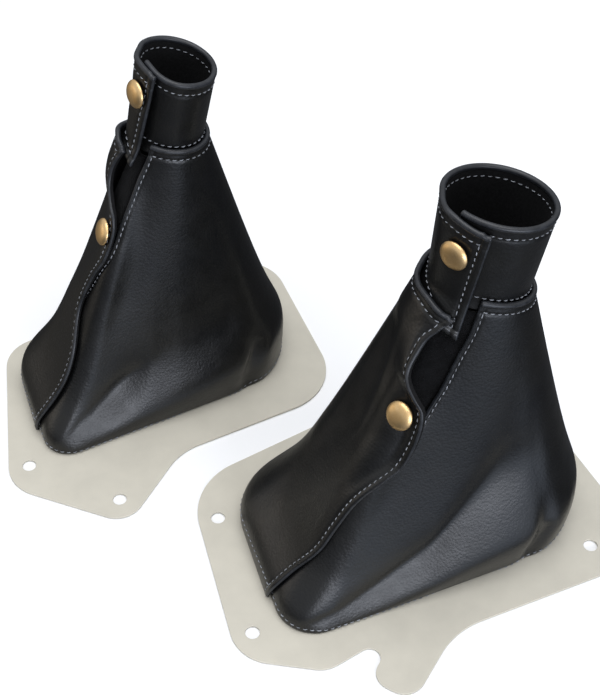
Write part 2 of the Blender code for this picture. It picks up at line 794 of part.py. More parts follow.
def make_snap(boot, name, patch, material):
    """A domed snap cap on a square patch of points of the leather, seated on the highest."""
    profile = (
        (0.0, 0.0),
        (CAP_RADIUS * 0.88, 0.0),
        (CAP_RADIUS, CAP_HEIGHT * 0.25),
        (CAP_RADIUS * 0.95, CAP_HEIGHT * 0.55),
        (CAP_RADIUS * 0.72, CAP_HEIGHT * 0.84),
        (CAP_RADIUS * 0.36, CAP_HEIGHT * 0.97),
        (0.0, CAP_HEIGHT),
    )
    middle = len(patch) // 2
    point = patch[middle, middle]
    out = unit(np.cross(patch[-1, middle] - patch[0, middle], patch[middle, -1] - patch[middle, 0]))
    seat = np.max((patch - point) @ out)
    side = unit(np.cross(np.array([0.0, 0.0, 1.0]), out))
    top = np.cross(out, side)
    mesh = bpy.data.meshes.new(name)
    build = bmesh.new()
    centre = point + out * (seat + GAP)
    chain = [build.verts.new((centre + side * r + out * h) * MM) for r, h in profile]
    edges = [build.edges.new(pair) for pair in zip(chain, chain[1:])]
    bmesh.ops.spin(
        build,
        geom=chain + edges,
        cent=centre * MM,
        axis=out,
        angle=2 * np.pi,
        steps=CAP_SIDES,
        use_merge=True,
    )
    bmesh.ops.remove_doubles(build, verts=build.verts[:], dist=1e-6)
    bmesh.ops.recalc_face_normals(build, faces=build.faces[:])
    build.to_mesh(mesh)
    build.free()
    cap = bpy.data.objects.new(name, mesh)
    bpy.context.collection.objects.link(cap)
    mesh.shade_smooth()
    mesh.set_sharp_from_angle(angle=np.radians(50))
    mesh.materials.append(material)
    stand(cap, boot)


def make_snaps(boot, material):
    """The snap on the collar's tab and the one on the skirt's flap."""
    across, up = np.meshgrid([-1.0, 0.0, 1.0], [-1.0, 0.0, 1.0], indexing="ij")
    tab = boot.tab
    tab_end = tab.tip_turn + (tab.top_turn - tab.tip_turn) * boot.tab_snap.rise
    sweep = tab_end + 360 - tab.under_turn
    half_turn = np.degrees(CAP_SEAT / boot.rim.radius)
    half_level = CAP_SEAT / (boot.rim.z - boot.seam.z + tab.tip_drop)
    share = (boot.tab_snap.turn + 360 - tab.under_turn + across * half_turn) / sweep
    patch = collar_face(boot, share, boot.tab_snap.rise + up * half_level)
    make_snap(boot, boot.name + "_tab_snap", patch, material)

    radius = wall_radius(boot, boot.flap_snap.turn, boot.flap_snap.rise)
    turn = boot.flap_snap.turn + 360 + across * np.degrees(CAP_SEAT / radius)
    rise = boot.flap_snap.rise + up * CAP_SEAT / boot.seam.z
    make_snap(boot, boot.name + "_flap_snap", lapped_wall(boot, turn, rise), material)


def make_boot(boot):
    make_plate(boot, finish(boot.name + "_plate_plastic", (0.70, 0.67, 0.60), 0.6))
    make_skirt(boot, finish(boot.name + "_skirt_leather", (0.018, 0.018, 0.019), 0.42))
    make_underlap(boot, finish(boot.name + "_underlap_suede", (0.008, 0.008, 0.009), 0.95))
    make_collar(boot, finish(boot.name + "_collar_leather", (0.018, 0.018, 0.019), 0.42))
    make_snaps(boot, finish(boot.name + "_snap_brass", (0.68, 0.49, 0.22), 0.3, 1.0))


def main():
    for leftover in list(bpy.data.objects):
        bpy.data.objects.remove(leftover, do_unlink=True)
    for boot in (WIDE, SLIM):
        make_boot(boot)


main()
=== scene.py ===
"""The looks of a pair of leather lever boots, each standing on its own thin base plate.

Each boot is a leather skirt, wrapped a little more than once round a lever, with a collar
band above it, a suede strip under the opening, two brass snaps and a drilled plastic plate.
The leather pieces are thin shells on the forms of their solids, with turned hems, rolled
edges, seams, and the creases that the leather takes where it is bent over its base.

Sizes in the tables are in millimetres in the boot's own frame: +X along its long side,
towards the end that the collar leans to, +Y to the rear, +Z up. A turn is an angle in
degrees round the boot, counterclockwise from +X as seen from above, and it runs on past
360 where the leather laps over itself. A rise is a share of the skirt's height.
"""

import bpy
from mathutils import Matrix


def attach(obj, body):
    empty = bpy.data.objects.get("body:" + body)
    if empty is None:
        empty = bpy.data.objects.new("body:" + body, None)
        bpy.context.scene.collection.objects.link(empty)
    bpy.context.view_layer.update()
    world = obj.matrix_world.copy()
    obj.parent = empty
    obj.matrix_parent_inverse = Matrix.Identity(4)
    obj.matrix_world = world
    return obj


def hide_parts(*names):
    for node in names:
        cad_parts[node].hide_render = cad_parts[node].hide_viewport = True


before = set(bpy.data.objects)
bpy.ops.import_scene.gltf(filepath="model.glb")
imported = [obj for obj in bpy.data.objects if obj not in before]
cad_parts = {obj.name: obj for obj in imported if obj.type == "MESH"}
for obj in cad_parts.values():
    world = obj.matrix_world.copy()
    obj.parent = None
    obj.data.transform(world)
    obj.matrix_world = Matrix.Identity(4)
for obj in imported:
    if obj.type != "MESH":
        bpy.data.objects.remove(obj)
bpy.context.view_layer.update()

import math
from collections import namedtuple
from functools import lru_cache

import bpy
import bmesh
import numpy as np
from mathutils import Matrix, Vector

bl_info = {
    "name": "Lever Boots",
    "version": (1, 0, 0),
    "blender": (4, 5, 0),
    "location": "3D View > Sidebar > Boots",
    "description": "Makes a pair of leather lever boots on their base plates",
    "category": "Object",
}

MM = 0.001


def linear(code):
    """The linear colour of an sRGB hex code such as "1c1d1f"."""
    shares = [int(code[i : i + 2], 16) / 255 for i in (0, 2, 4)]
    return tuple(s / 12.92 if s <= 0.04045 else ((s + 0.055) / 1.055) ** 2.4 for s in shares)


# ---------------------------------------------------------------------------
# The boots' sizes, as in their solids
# ---------------------------------------------------------------------------

# Thicknesses, and the gaps that part pieces which touch: between any two of them, between
# the skirt and the collar inside it, and between the skirt and the suede under it
PLATE = 1.0
LEATHER = 1.6
SUEDE = 1.2
GAP = 0.35
SEAM_GAP = 0.75
SUEDE_GAP = 0.65

# The rolled edges: a turned-over bead along the top of the skirt and of the collar
SEAM_ROLL = 1.25
RIM_ROLL = 1.25

# How far the collar's lower edge reaches down inside the skirt, and how much further in it
# lies where the skirt slopes
COLLAR_TUCK = 4.0
SLOPE_CLEARANCE = 0.5

# Where the layers lie: how far the flap stands off the layer below it, over how much of
# its width its free edge curls away, over what turn it can lie straight across the boot's
# corner, with what share of that turn to bend into it, and how far the tab stands off the
# rim it lies over
FLAP_LIFT = LEATHER + 0.5
CURL_REACH = 24.0
FLAT_TURN = 24.0
FLAT_BEND = 0.35
RIM_LAP = 2 * RIM_ROLL + GAP

# Where the flap climbs onto the layer below it: how many degrees before that layer's end,
# over how many degrees, and at what rise and over how much of it the tab takes over
CLIMB_END = 4.0
CLIMB_TURN = 24.0
TAB_RISE = 0.78
TAB_RISE_RUN = 0.12

# How the skirt's top edge drops to the flap's corner: most of the drop over a broad share
# of the skirt, the rest over a narrow one close to the corner, and from what level up
BROAD_SHARE = 0.45
NARROW_SHARE = 0.1
BROAD_DROP = 0.7
DROP_LEVEL = 0.6

# How the collar's edges run down along the tab: a share of it gently, and the rest over
# the last degrees before its end. Then how far round the snap presses it down
TAB_GENTLE = 0.35
TAB_STEEP_TURN = 50
PRESS_TURN = 70

# The strip of suede: how far it reaches under the skirt's start, and beyond it, the
# last of these as a length near the seam and at the hem, and as a turn at most
SUEDE_TUCK = 9.0
SUEDE_REACH = 30.0
SUEDE_HEM_REACH = 15.0
SUEDE_REACH_TURN = 34.0

# The domed snap caps, the screw holes and the margin of the hem round the plate's opening
CAP_RADIUS = 6.25
CAP_HEIGHT = 2.8
CAP_SEAT = 5.0
HOLE_RADIUS = 3.3
HEM_LEDGE = 11.0

# How softly the wall bends at its shoulder, over what share of the rise the shelf above
# the shoulder runs out, and how much of its depth a fold keeps at its ends
KNEE = 0.02
SHELF_RUN = 0.12
FOLD_ENDS = 0.35

# Where the wide boot stands, so that the middle of the two plates is at 0, 0
SHIFT = (33.42, -54.21)

Corner = namedtuple("Corner", "x y radius")
Ring = namedtuple("Ring", "x y z lean_x lean_y radius")
Shoulder = namedtuple("Shoulder", "turn height shelf bulge")
Fold = namedtuple("Fold", "turn_a height_a turn_b height_b half_width depth")
# A crease has its widths below and above, its depth, and its path in turns and heights.
# Those with a depth over 0 are soft ridges
Crease = namedtuple("Crease", "below above depth path")
# The leather folds into a flatter shelf above its base. At each turn, the shelf has the
# heights of its lower line and of the crease above it, its lean back in degrees, how far
# it stands out along the lower line, how far the leather swells out above the crease, how
# rounded the crease is, and what share of all this there is
Shelf = namedtuple("Shelf", "turn low crease slope push bulge round share")
Tab = namedtuple(
    "Tab", "under_turn ramp_turn over_turn top_turn tip_turn tip_drop top_drop lap press"
)
Snap = namedtuple("Snap", "turn rise")
Boot = namedtuple(
    "Boot",
    "name x y heading hem foot seam rim shoulders folds start_edge flap_edge edge_lifts "
    "flats flap_ramp top_lift corner_drop tab tab_snap flap_snap plate holes creases "
    "shelf rear_shelf hem_rows",
)

WIDE = Boot(
    name="wide",
    x=0.0,
    y=0.0,
    heading=0.0,
    hem=(
        Corner(79.5, -44.5, 40),
        Corner(79.5, 45, 34),
        Corner(-68.2, 45, 26),
        Corner(-78.3, -44.5, 18),
    ),
    foot=(20.0, 0.0),
    seam=Ring(22.5, 0, 148.3, 17, 7, 23.2),
    rim=Ring(26.8, 0, 187.2, 10.5, 4.5, 22.3),
    shoulders=(
        Shoulder(0, 26, 3, 1.6),
        Shoulder(60, 16, 4, 2.0),
        Shoulder(120, 16, 12, 1.0),
        Shoulder(170, 14, 15, 0.5),
        Shoulder(204, 8, 10, 0.5),
        Shoulder(250, 18, 7, 2.5),
        Shoulder(300, 25, 6, 3.0),
        Shoulder(330, 26, 3, 1.6),
    ),
    folds=(
        Fold(206, 3, 222, 19, 6, -2.0),
        Fold(222, 19, 245, 38, 8, -3.0),
        Fold(245, 38, 272, 60, 10, -3.0),
        Fold(295, 0, 303, 36, 5, -3.0),
    ),
    # Each row is a rise and the turn of the leather's edge there
    start_edge=(
        (0.0, 170.0), (0.1, 175.0), (0.2, 181.5), (0.3, 188.0), (0.4, 195.0), (0.5, 203.5),
        (0.55, 208.5), (0.603, 213.8), (0.643, 216.4), (0.688, 219.0), (0.72, 221.5),
        (0.77, 224.5), (0.835, 229.1), (0.9, 235.3), (1.0, 241.5),
    ),
    flap_edge=(
        (0.0, 190.3), (0.06, 192.3), (0.136, 194.9), (0.229, 199.3), (0.313, 201.2),
        (0.409, 204.0), (0.492, 208.5), (0.535, 210.7), (0.573, 211.2), (0.645, 211.3),
        (0.693, 210.5), (0.736, 208.2), (0.787, 204.1), (0.836, 204.4), (0.898, 208.9),
        (0.948, 221.7), (1.0, 231.0),
    ),
    # Each row is a rise and how far the flap's edge stands off the layer below it
    edge_lifts=(
        (0.0, 2.1), (0.3, 2.6), (0.5, 6.0), (0.6, 9.5), (0.7, 11.0), (0.8, 6.5), (0.9, 3.2),
        (1.0, 2.5),
    ),
    # Each row is a rise and how much the flap is straightened there
    flats=(
        (0.0, 0.0), (0.3, 0.0), (0.5, 0.6), (0.6, 1.0), (0.76, 1.0), (0.88, 0.3),
        (0.95, 0.0), (1.0, 0.0),
    ),
    flap_ramp=(140.0, 181.0),
    top_lift=2.5,
    corner_drop=0.06,
    tab=Tab(197.0, 150.0, 190.0, 235.0, 229.0, 17.5, 3.7, 2.5, 1.0),
    tab_snap=Snap(206.0, 0.70),
    flap_snap=Snap(201.5, 0.665),
    plate=(
        Corner(-100.7, -41.2, 20),
        Corner(-67, -61.6, 14),
        Corner(-28.4, -54.8, 4.8),
        Corner(-52, -72.5, 8),
        Corner(-39.3, -89.5, 10),
        Corner(-6.6, -65.2, 40),
        Corner(98, -65, 21),
        Corner(91.5, 70, 30),
        Corner(3, 70, 80),
        Corner(-86.9, 56.7, 32),
    ),
    holes=((-80.9, 33.0), (-89.6, -31.3), (73.0, -48.8)),
    creases=(
        Crease(3.5, 5, -1.4, ((295.5, -2), (300.4, 14), (304, 24))),
        Crease(8, 8, 0.8, ((299, 4), (308, 18), (322, 30))),
        Crease(6, 10, -1.8, ((10, 8), (22, 24), (38, 34), (50, 36))),
        Crease(6, 9, -1.9, ((62, 4), (74, 16), (92, 30), (110, 34))),
        Crease(4, 5, -1.5, ((112, -2), (116, 12), (124, 26))),
        Crease(7, 10, -0.9, ((128, 12), (140, 26), (152, 44))),
        Crease(10, 10, -0.6, ((506, 30), (514, 44), (522, 54))),
        Crease(9, 9, 0.7, ((536, 30), (545, 46), (556, 70))),
        Crease(6, 7, 0.4, ((548, 92), (556, 110), (560, 124))),
    ),
    # The shelf across the front, which shows in the photo, and a like one across the rear
    shelf=(
        Shelf(202.0, 0.4, 5.0, 32, 0.0, 0.0, 0.3, 0.0),
        Shelf(208.5, 0.8, 7.5, 44, 0.4, 0.4, 0.3, 0.9),
        Shelf(216.5, 1.8, 14.8, 41, 0.6, 1.2, 0.3, 1.0),
        Shelf(225.0, 4.5, 22.2, 36, 0.8, 1.4, 0.3, 1.0),
        Shelf(234.0, 8.0, 28.5, 32, 1.0, 1.2, 0.4, 1.0),
        Shelf(245.0, 13.5, 38.9, 29, 1.2, 0.6, 0.6, 1.0),
        Shelf(260.0, 21.0, 51.0, 27, 1.4, 0.0, 1.2, 1.0),
        Shelf(271.0, 26.0, 59.2, 27, 1.6, 0.0, 2.4, 1.0),
        Shelf(291.0, 33.5, 68.0, 27, 1.8, 0.0, 4.0, 0.75),
        Shelf(306.0, 38.5, 70.0, 26, 1.4, 0.0, 4.0, 0.5),
        Shelf(322.0, 42.0, 72.0, 24, 0.5, 0.0, 4.0, 0.2),
        Shelf(340.0, 43.0, 72.0, 22, 0.0, 0.0, 4.0, 0.0),
    ),
    rear_shelf=(
        Shelf(46.0, 34.0, 56.0, 24, 0.0, 0.0, 3.0, 0.0),
        Shelf(62.0, 28.0, 52.0, 26, 0.8, 0.0, 2.5, 0.5),
        Shelf(80.0, 20.0, 44.0, 28, 1.0, 0.3, 1.5, 0.8),
        Shelf(100.0, 12.0, 32.0, 30, 1.0, 0.6, 0.8, 0.9),
        Shelf(116.0, 6.0, 20.0, 32, 0.8, 0.6, 0.5, 0.8),
        Shelf(126.0, 2.5, 11.0, 30, 0.4, 0.2, 0.4, 0.4),
        Shelf(134.0, 1.0, 6.0, 28, 0.0, 0.0, 0.3, 0.0),
    ),
    # Each row is a turn and how far the stitches lie above the hem there
    hem_rows=(
        (0, 2.8), (100, 3.2), (150, 8.0), (185, 8.6), (196, 6.4), (204, 4.6), (212, 3.0),
        (220, 1.5), (230, 0.9), (290, 0.9), (302, 2.4),
    ),
)

SLIM = Boot(
    name="slim",
    x=-77.5,
    y=134.5,
    heading=4.5,
    hem=(
        Corner(70, -35, 35),
        Corner(70, 36, 32),
        Corner(-58.4, 36, 24),
        Corner(-69.5, -35, 13),
    ),
    foot=(17.0, 0.0),
    seam=Ring(17.5, 0, 147.8, 9, -4, 17.2),
    rim=Ring(21.6, -1, 182.6, 14, -6.4, 16.4),
    shoulders=(
        Shoulder(0, 26, 4, 1.2),
        Shoulder(60, 16, 4, 1.5),
        Shoulder(120, 16, 8, 1.0),
        Shoulder(170, 14, 11, 0.5),
        Shoulder(204, 8, 8, 0.5),
        Shoulder(250, 18, 6, 2.5),
        Shoulder(300, 24, 6, 2.5),
        Shoulder(330, 26, 4, 1.2),
    ),
    folds=(
        Fold(203, 2, 212, 28, 7, -2.5),
        Fold(212, 28, 240, 42, 9, -2.5),
        Fold(240, 42, 318, 50, 12, -2.5),
        Fold(301, 0, 309, 32, 5, -3.0),
    ),
    start_edge=(
        (0.0, 166.0), (0.15, 170.0), (0.3, 176.0), (0.45, 182.0), (0.57, 190.0),
        (0.666, 197.2), (0.742, 199.0), (0.826, 202.0), (0.907, 206.0), (1.0, 215.0),
    ),
    flap_edge=(
        (0.0, 188.5), (0.06, 190.5), (0.16, 194.0), (0.251, 195.8), (0.337, 194.3),
        (0.419, 187.9), (0.555, 191.8), (0.645, 198.4), (0.706, 199.5), (0.756, 198.8),
        (0.782, 196.2), (0.808, 188.4), (0.839, 180.9), (0.881, 178.1), (0.926, 181.6),
        (0.982, 191.8), (1.0, 195.0),
    ),
    edge_lifts=(
        (0.0, 2.1), (0.3, 2.4), (0.5, 2.6), (0.68, 3.2), (0.78, 4.0), (0.86, 5.0),
        (1.0, 5.0),
    ),
    flats=((0.0, 0.0), (1.0, 0.0)),
    flap_ramp=(125.0, 158.0),
    top_lift=5.0,
    corner_drop=0.045,
    tab=Tab(178.0, 135.0, 172.0, 216.0, 200.0, 10.0, 0.0, 5.0, 3.2),
    tab_snap=Snap(186.0, 0.72),
    flap_snap=Snap(191.0, 0.71),
    plate=(
        Corner(-50, -84.6, 13),
        Corner(-10.2, -56.5, 30),
        Corner(79.7, -57, 30),
        Corner(92.5, 56.3, 25),
        Corner(-62.1, 46.7, 18),
        Corner(-92, -38.8, 20),
    ),
    holes=((-78.8, -30.9), (-48.0, -69.7)),
    creases=(
        Crease(4, 6, -1.6, ((301, -2), (298.5, 14.5), (305.6, 22.7), (312, 31))),
        Crease(8, 8, 0.9, ((305, 4), (312, 18), (328, 34))),
        Crease(6, 9, -1.7, ((16, 8), (28, 22), (44, 30))),
        Crease(6, 8, -1.7, ((66, 4), (78, 18), (96, 28))),
        Crease(4, 5, -1.4, ((114, -2), (117, 12), (124, 24))),
        Crease(7, 9, -0.8, ((134, 14), (144, 30), (152, 46))),
        Crease(9, 9, -0.6, ((512, 28), (520, 40), (530, 52))),
    ),
    shelf=(
        Shelf(200.0, 0.5, 5.0, 30, 0.0, 0.0, 0.3, 0.0),
        Shelf(205.0, 2.0, 14.0, 41, 0.4, 0.6, 0.3, 0.8),
        Shelf(211.5, 5.0, 25.0, 42, 0.6, 1.2, 0.4, 0.9),
        Shelf(226.0, 10.0, 35.7, 31, 0.8, 0.8, 1.4, 0.5),
        Shelf(245.0, 16.0, 42.0, 25, 1.0, 0.3, 2.0, 0.45),
        Shelf(257.0, 20.0, 44.2, 25, 1.0, 0.0, 2.2, 0.5),
        Shelf(280.0, 27.0, 47.0, 26, 0.9, 0.0, 2.2, 0.75),
        Shelf(297.0, 31.5, 50.8, 27, 0.8, 0.0, 2.2, 0.8),
        Shelf(318.0, 38.5, 52.3, 22, 0.4, 0.0, 3.0, 0.3),
        Shelf(332.0, 40.0, 54.0, 22, 0.0, 0.0, 3.0, 0.0),
    ),
    rear_shelf=(
        Shelf(50.0, 28.0, 46.0, 24, 0.0, 0.0, 3.0, 0.0),
        Shelf(66.0, 23.0, 42.0, 26, 0.6, 0.0, 2.5, 0.6),
        Shelf(84.0, 16.0, 36.0, 28, 0.8, 0.3, 1.5, 0.8),
        Shelf(104.0, 9.0, 26.0, 30, 0.8, 0.5, 0.8, 0.8),
        Shelf(118.0, 4.0, 14.0, 31, 0.5, 0.3, 0.4, 0.6),
        Shelf(128.0, 1.5, 7.0, 28, 0.0, 0.0, 0.3, 0.0),
    ),
    hem_rows=(
        (0, 2.8), (100, 3.2), (150, 7.0), (180, 7.4), (192, 6.0), (201, 4.2), (208, 2.8),
        (216, 1.2), (230, 0.9), (296, 0.9), (306, 2.4),
    ),
)

BOOTS = (WIDE, SLIM)


# ---------------------------------------------------------------------------
# Small geometry helpers
# ---------------------------------------------------------------------------


def through(x, rows):
    """A smooth curve through the rows, each an x and its value, read at x."""
    xs, ys = np.array(rows, float).T
    slope = np.gradient(ys, xs)
    i = np.clip(np.searchsorted(xs, x, side="right") - 1, 0, len(xs) - 2)
    run = xs[i + 1] - xs[i]
    t = np.clip((x - xs[i]) / run, 0.0, 1.0)
    start = (1 + 2 * t) * (1 - t) ** 2 * ys[i] + t * (1 - t) ** 2 * run * slope[i]
    end = t * t * (3 - 2 * t) * ys[i + 1] + t * t * (t - 1) * run * slope[i + 1]
    return start + end


def round_the_boot(turn, rows):
    """A smooth closed curve through the rows, each a turn and its value, read at the turn."""
    before = [(at - 360, value) for at, value in rows[-2:]]
    after = [(at + 360, value) for at, value in rows[:2]]
    return through(np.mod(turn, 360), before + list(rows) + after)


def ease(x):
    """0 below 0, 1 above 1, and a smooth step between."""
    x = np.clip(x, 0.0, 1.0)
    return x * x * (3 - 2 * x)


def outward(turn):
    """The level direction out from the boot at the turn."""
    angle = np.radians(turn)
    return np.stack([np.cos(angle), np.sin(angle), np.zeros_like(angle)], -1)


def unit(vectors):
    """The vectors, each made 1 long."""
    return vectors / np.linalg.norm(vectors, axis=-1, keepdims=True)


# The hem is read from points this close together, rounded in corners of these steps
HEM_STEP = 0.1
HEM_CORNER_STEP = 0.4


def rounded(corners, step):
    """A closed outline through the corners, each turned with its radius."""
    outline = []
    for i, corner in enumerate(corners):
        before = corners[i - 1]
        after = corners[(i + 1) % len(corners)]
        here = np.array([corner.x, corner.y], float)
        back = unit(np.array([before.x, before.y], float) - here)
        ahead = unit(np.array([after.x, after.y], float) - here)
        half = np.arccos(np.clip(back @ ahead, -1.0, 1.0)) / 2
        reach = corner.radius / np.tan(half)
        centre = here + unit(back + ahead) * corner.radius / np.sin(half)
        arm = here + back * reach - centre
        other = here + ahead * reach - centre
        first = np.arctan2(arm[1], arm[0])
        sweep = (np.arctan2(other[1], other[0]) - first + np.pi) % (2 * np.pi) - np.pi
        pieces = max(2, int(np.ceil(abs(sweep) * corner.radius / step)))
        for k in range(pieces + 1):
            angle = first + sweep * k / pieces
            outline.append(centre + corner.radius * np.array([np.cos(angle), np.sin(angle)]))
    return np.array(outline)


@lru_cache(maxsize=None)
def hem_outline(hem, foot):
    """The turns and radii of points close together along the hem, in order of turn."""
    outline = rounded(hem, HEM_CORNER_STEP)
    closed = np.concatenate([outline, outline[:1]])
    reach = np.concatenate([[0], np.linalg.norm(np.diff(closed, axis=0), axis=-1).cumsum()])
    at = np.arange(0, reach[-1], HEM_STEP)
    fine = np.stack([np.interp(at, reach, closed[:, k]) for k in (0, 1)], -1)
    from_foot = fine - np.array(foot)
    angle = np.degrees(np.arctan2(from_foot[:, 1], from_foot[:, 0])) % 360
    order = np.argsort(angle)
    return angle[order], np.hypot(from_foot[:, 0], from_foot[:, 1])[order]


def hem_radius(boot, turn):
    """How far the hem lies from the middle of the boot's foot."""
    turns, radii = hem_outline(boot.hem, boot.foot)
    return np.interp(np.mod(turn, 360), turns, radii, period=360)


def ring_height(ring, turn, radius):
    """The height of a leaning ring at the turn."""
    level = radius[..., None] * outward(turn)
    down_x = np.tan(np.radians(ring.lean_x)) * level[..., 0]
    down_y = np.tan(np.radians(ring.lean_y)) * level[..., 1]
    return ring.z - down_x - down_y


# ---------------------------------------------------------------------------
# The leather's forms, as in their solids
# ---------------------------------------------------------------------------


def fold_depth(boot, turn, height, radius):
    """How far the boot's folds push the wall out, at points of the wall."""
    push = np.zeros_like(radius)
    for fold in boot.folds:
        across = np.radians((turn - fold.turn_a + 180) % 360 - 180) * radius
        up = height - fold.height_a
        run = np.radians(fold.turn_b - fold.turn_a) * radius
        climb = fold.height_b - fold.height_a
        along = np.clip((across * run + up * climb) / (run * run + climb * climb), 0, 1)
        away = np.hypot(across - along * run, up - along * climb)
        fade = FOLD_ENDS + (1 - FOLD_ENDS) * np.sin(np.pi * along)
        push += fold.depth * fade * np.exp(-((away / fold.half_width) ** 2))
    return push


def wall(boot, turn, rise):
    """Points of the skirt's outer face where it is a single layer."""
    turn, rise = np.broadcast_arrays(np.asarray(turn, float), np.asarray(rise, float))
    seam_radius = np.full_like(turn, boot.seam.radius)
    height = ring_height(boot.seam, turn, seam_radius)
    shoulder = round_the_boot(turn, [(r.turn, r.height) for r in boot.shoulders]) / height
    shelf = round_the_boot(turn, [(r.turn, r.shelf) for r in boot.shoulders])
    bulge = round_the_boot(turn, [(r.turn, r.bulge) for r in boot.shoulders])
    span = hem_radius(boot, turn) - seam_radius
    above = KNEE * np.logaddexp(0, (rise - shoulder) / KNEE)
    climb = above / (KNEE * np.logaddexp(0, (1 - shoulder) / KNEE))
    shelf_share = shelf / span
    shelf_run = (1 - np.exp(-climb / SHELF_RUN)) / (1 - np.exp(-1 / SHELF_RUN))
    share = 1 - shelf_share * shelf_run - (1 - shelf_share) * climb
    lower = rise / shoulder
    radius = seam_radius + span * share + bulge * lower * np.exp(1 - lower)
    radius = radius + fold_depth(boot, turn, rise * height, radius)
    centre_x = boot.foot[0] + (boot.seam.x - boot.foot[0]) * rise
    centre_y = boot.foot[1] + (boot.seam.y - boot.foot[1]) * rise
    points = radius[..., None] * outward(turn)
    points[..., 0] += centre_x
    points[..., 1] += centre_y
    points[..., 2] = rise * height + PLATE + GAP
    return points


def wall_normal(boot, turn, rise):
    """The outward direction of the single layer, read from points close by."""
    d_turn = wall(boot, turn + 0.5, rise) - wall(boot, turn - 0.5, rise)
    d_rise = wall(boot, turn, rise + 0.004) - wall(boot, turn, rise - 0.004)
    return unit(np.cross(d_turn, d_rise))


def wall_radius(boot, turn, rise):
    """How far the wall lies from the foot of the collar's axis."""
    points = wall(boot, turn, rise)
    return np.hypot(points[..., 0] - boot.foot[0], points[..., 1] - boot.foot[1])


def resting_lift(boot, turn, rise):
    """How far the flap stands off the single layer where it lies on what is under it."""
    start = through(rise, boot.start_edge)
    edge = through(rise, boot.flap_edge)
    over_tab = ease((rise - TAB_RISE) / TAB_RISE_RUN)
    last = np.minimum(start, edge) - CLIMB_END
    first = last - CLIMB_TURN
    first = first + (np.minimum(first, boot.flap_ramp[0]) - first) * over_tab
    last = last + (np.minimum(last, boot.flap_ramp[1]) - last) * over_tab
    lying = FLAP_LIFT + (boot.top_lift - FLAP_LIFT) * over_tab
    return lying * ease((turn - 360 - first) / (last - first)), lying


def flap_lift(boot, turn, rise):
    """How far the flap stands off the single layer, with its free edge curled away."""
    resting, lying = resting_lift(boot, turn, rise)
    edge = through(rise, boot.flap_edge)
    free = through(rise, boot.edge_lifts)
    from_edge = np.radians(edge + 360 - turn) * wall_radius(boot, edge, rise)
    curl = np.clip(1 - from_edge / CURL_REACH, 0, 1) ** 2
    return resting + (free - lying) * curl


def lifted_wall(boot, turn, rise):
    """Points of the flap where it follows the layer below it."""
    lift = flap_lift(boot, turn, rise)[..., None]
    return wall(boot, turn, rise) + lift * wall_normal(boot, turn, rise)


def lapped_wall(boot, turn, rise):
    """Points of the skirt's outer face. Where the flap is stiff it lies straight."""
    turn, rise = np.broadcast_arrays(np.asarray(turn, float), np.asarray(rise, float))
    edge = through(rise, boot.flap_edge) + 360
    along = np.clip(1 - (edge - turn) / FLAT_TURN, 0, None)
    share = (through(rise, boot.flats) * ease(along / FLAT_BEND))[..., None]
    near = lifted_wall(boot, edge - FLAT_TURN, rise)
    straight = near + (lifted_wall(boot, edge, rise) - near) * along[..., None]
    points = lifted_wall(boot, turn, rise)
    move = share * (straight - points)
    normal = wall_normal(boot, turn, rise)
    lift = flap_lift(boot, turn, rise) + np.sum(move * normal, -1)
    sunk = np.minimum(0, lift - resting_lift(boot, turn, rise)[0])[..., None]
    return points + move - np.where(share > 0, sunk, 0) * normal


def corner_share(away):
    """How much of the corner's drop the top edge has, at a share of the skirt away."""
    broad = ease(1 - away / BROAD_SHARE)
    narrow = ease(1 - away / NARROW_SHARE)
    return BROAD_DROP * broad + (1 - BROAD_DROP) * narrow


def skirt_place(boot, share, level):
    """The turn and the rise of a place on the skirt.

    The share runs from 0 at the start edge to 1 at the flap's edge, and the level from 0
    at the hem to 1 at the top edge, which drops towards the flap's corner.
    """
    drop = boot.corner_drop * corner_share(1 - share)
    rise = level * (1 - drop * ease((level - DROP_LEVEL) / (1 - DROP_LEVEL)))
    start = through(rise, boot.start_edge)
    return start + (through(rise, boot.flap_edge) + 360 - start) * share, rise


def collar_turn(boot, share, level):
    """The turn of a place on the collar, from its inner end to the tab's edge."""
    tab = boot.tab
    end = tab.tip_turn + (tab.top_turn - tab.tip_turn) * level + 360
    return tab.under_turn + (end - tab.under_turn) * share


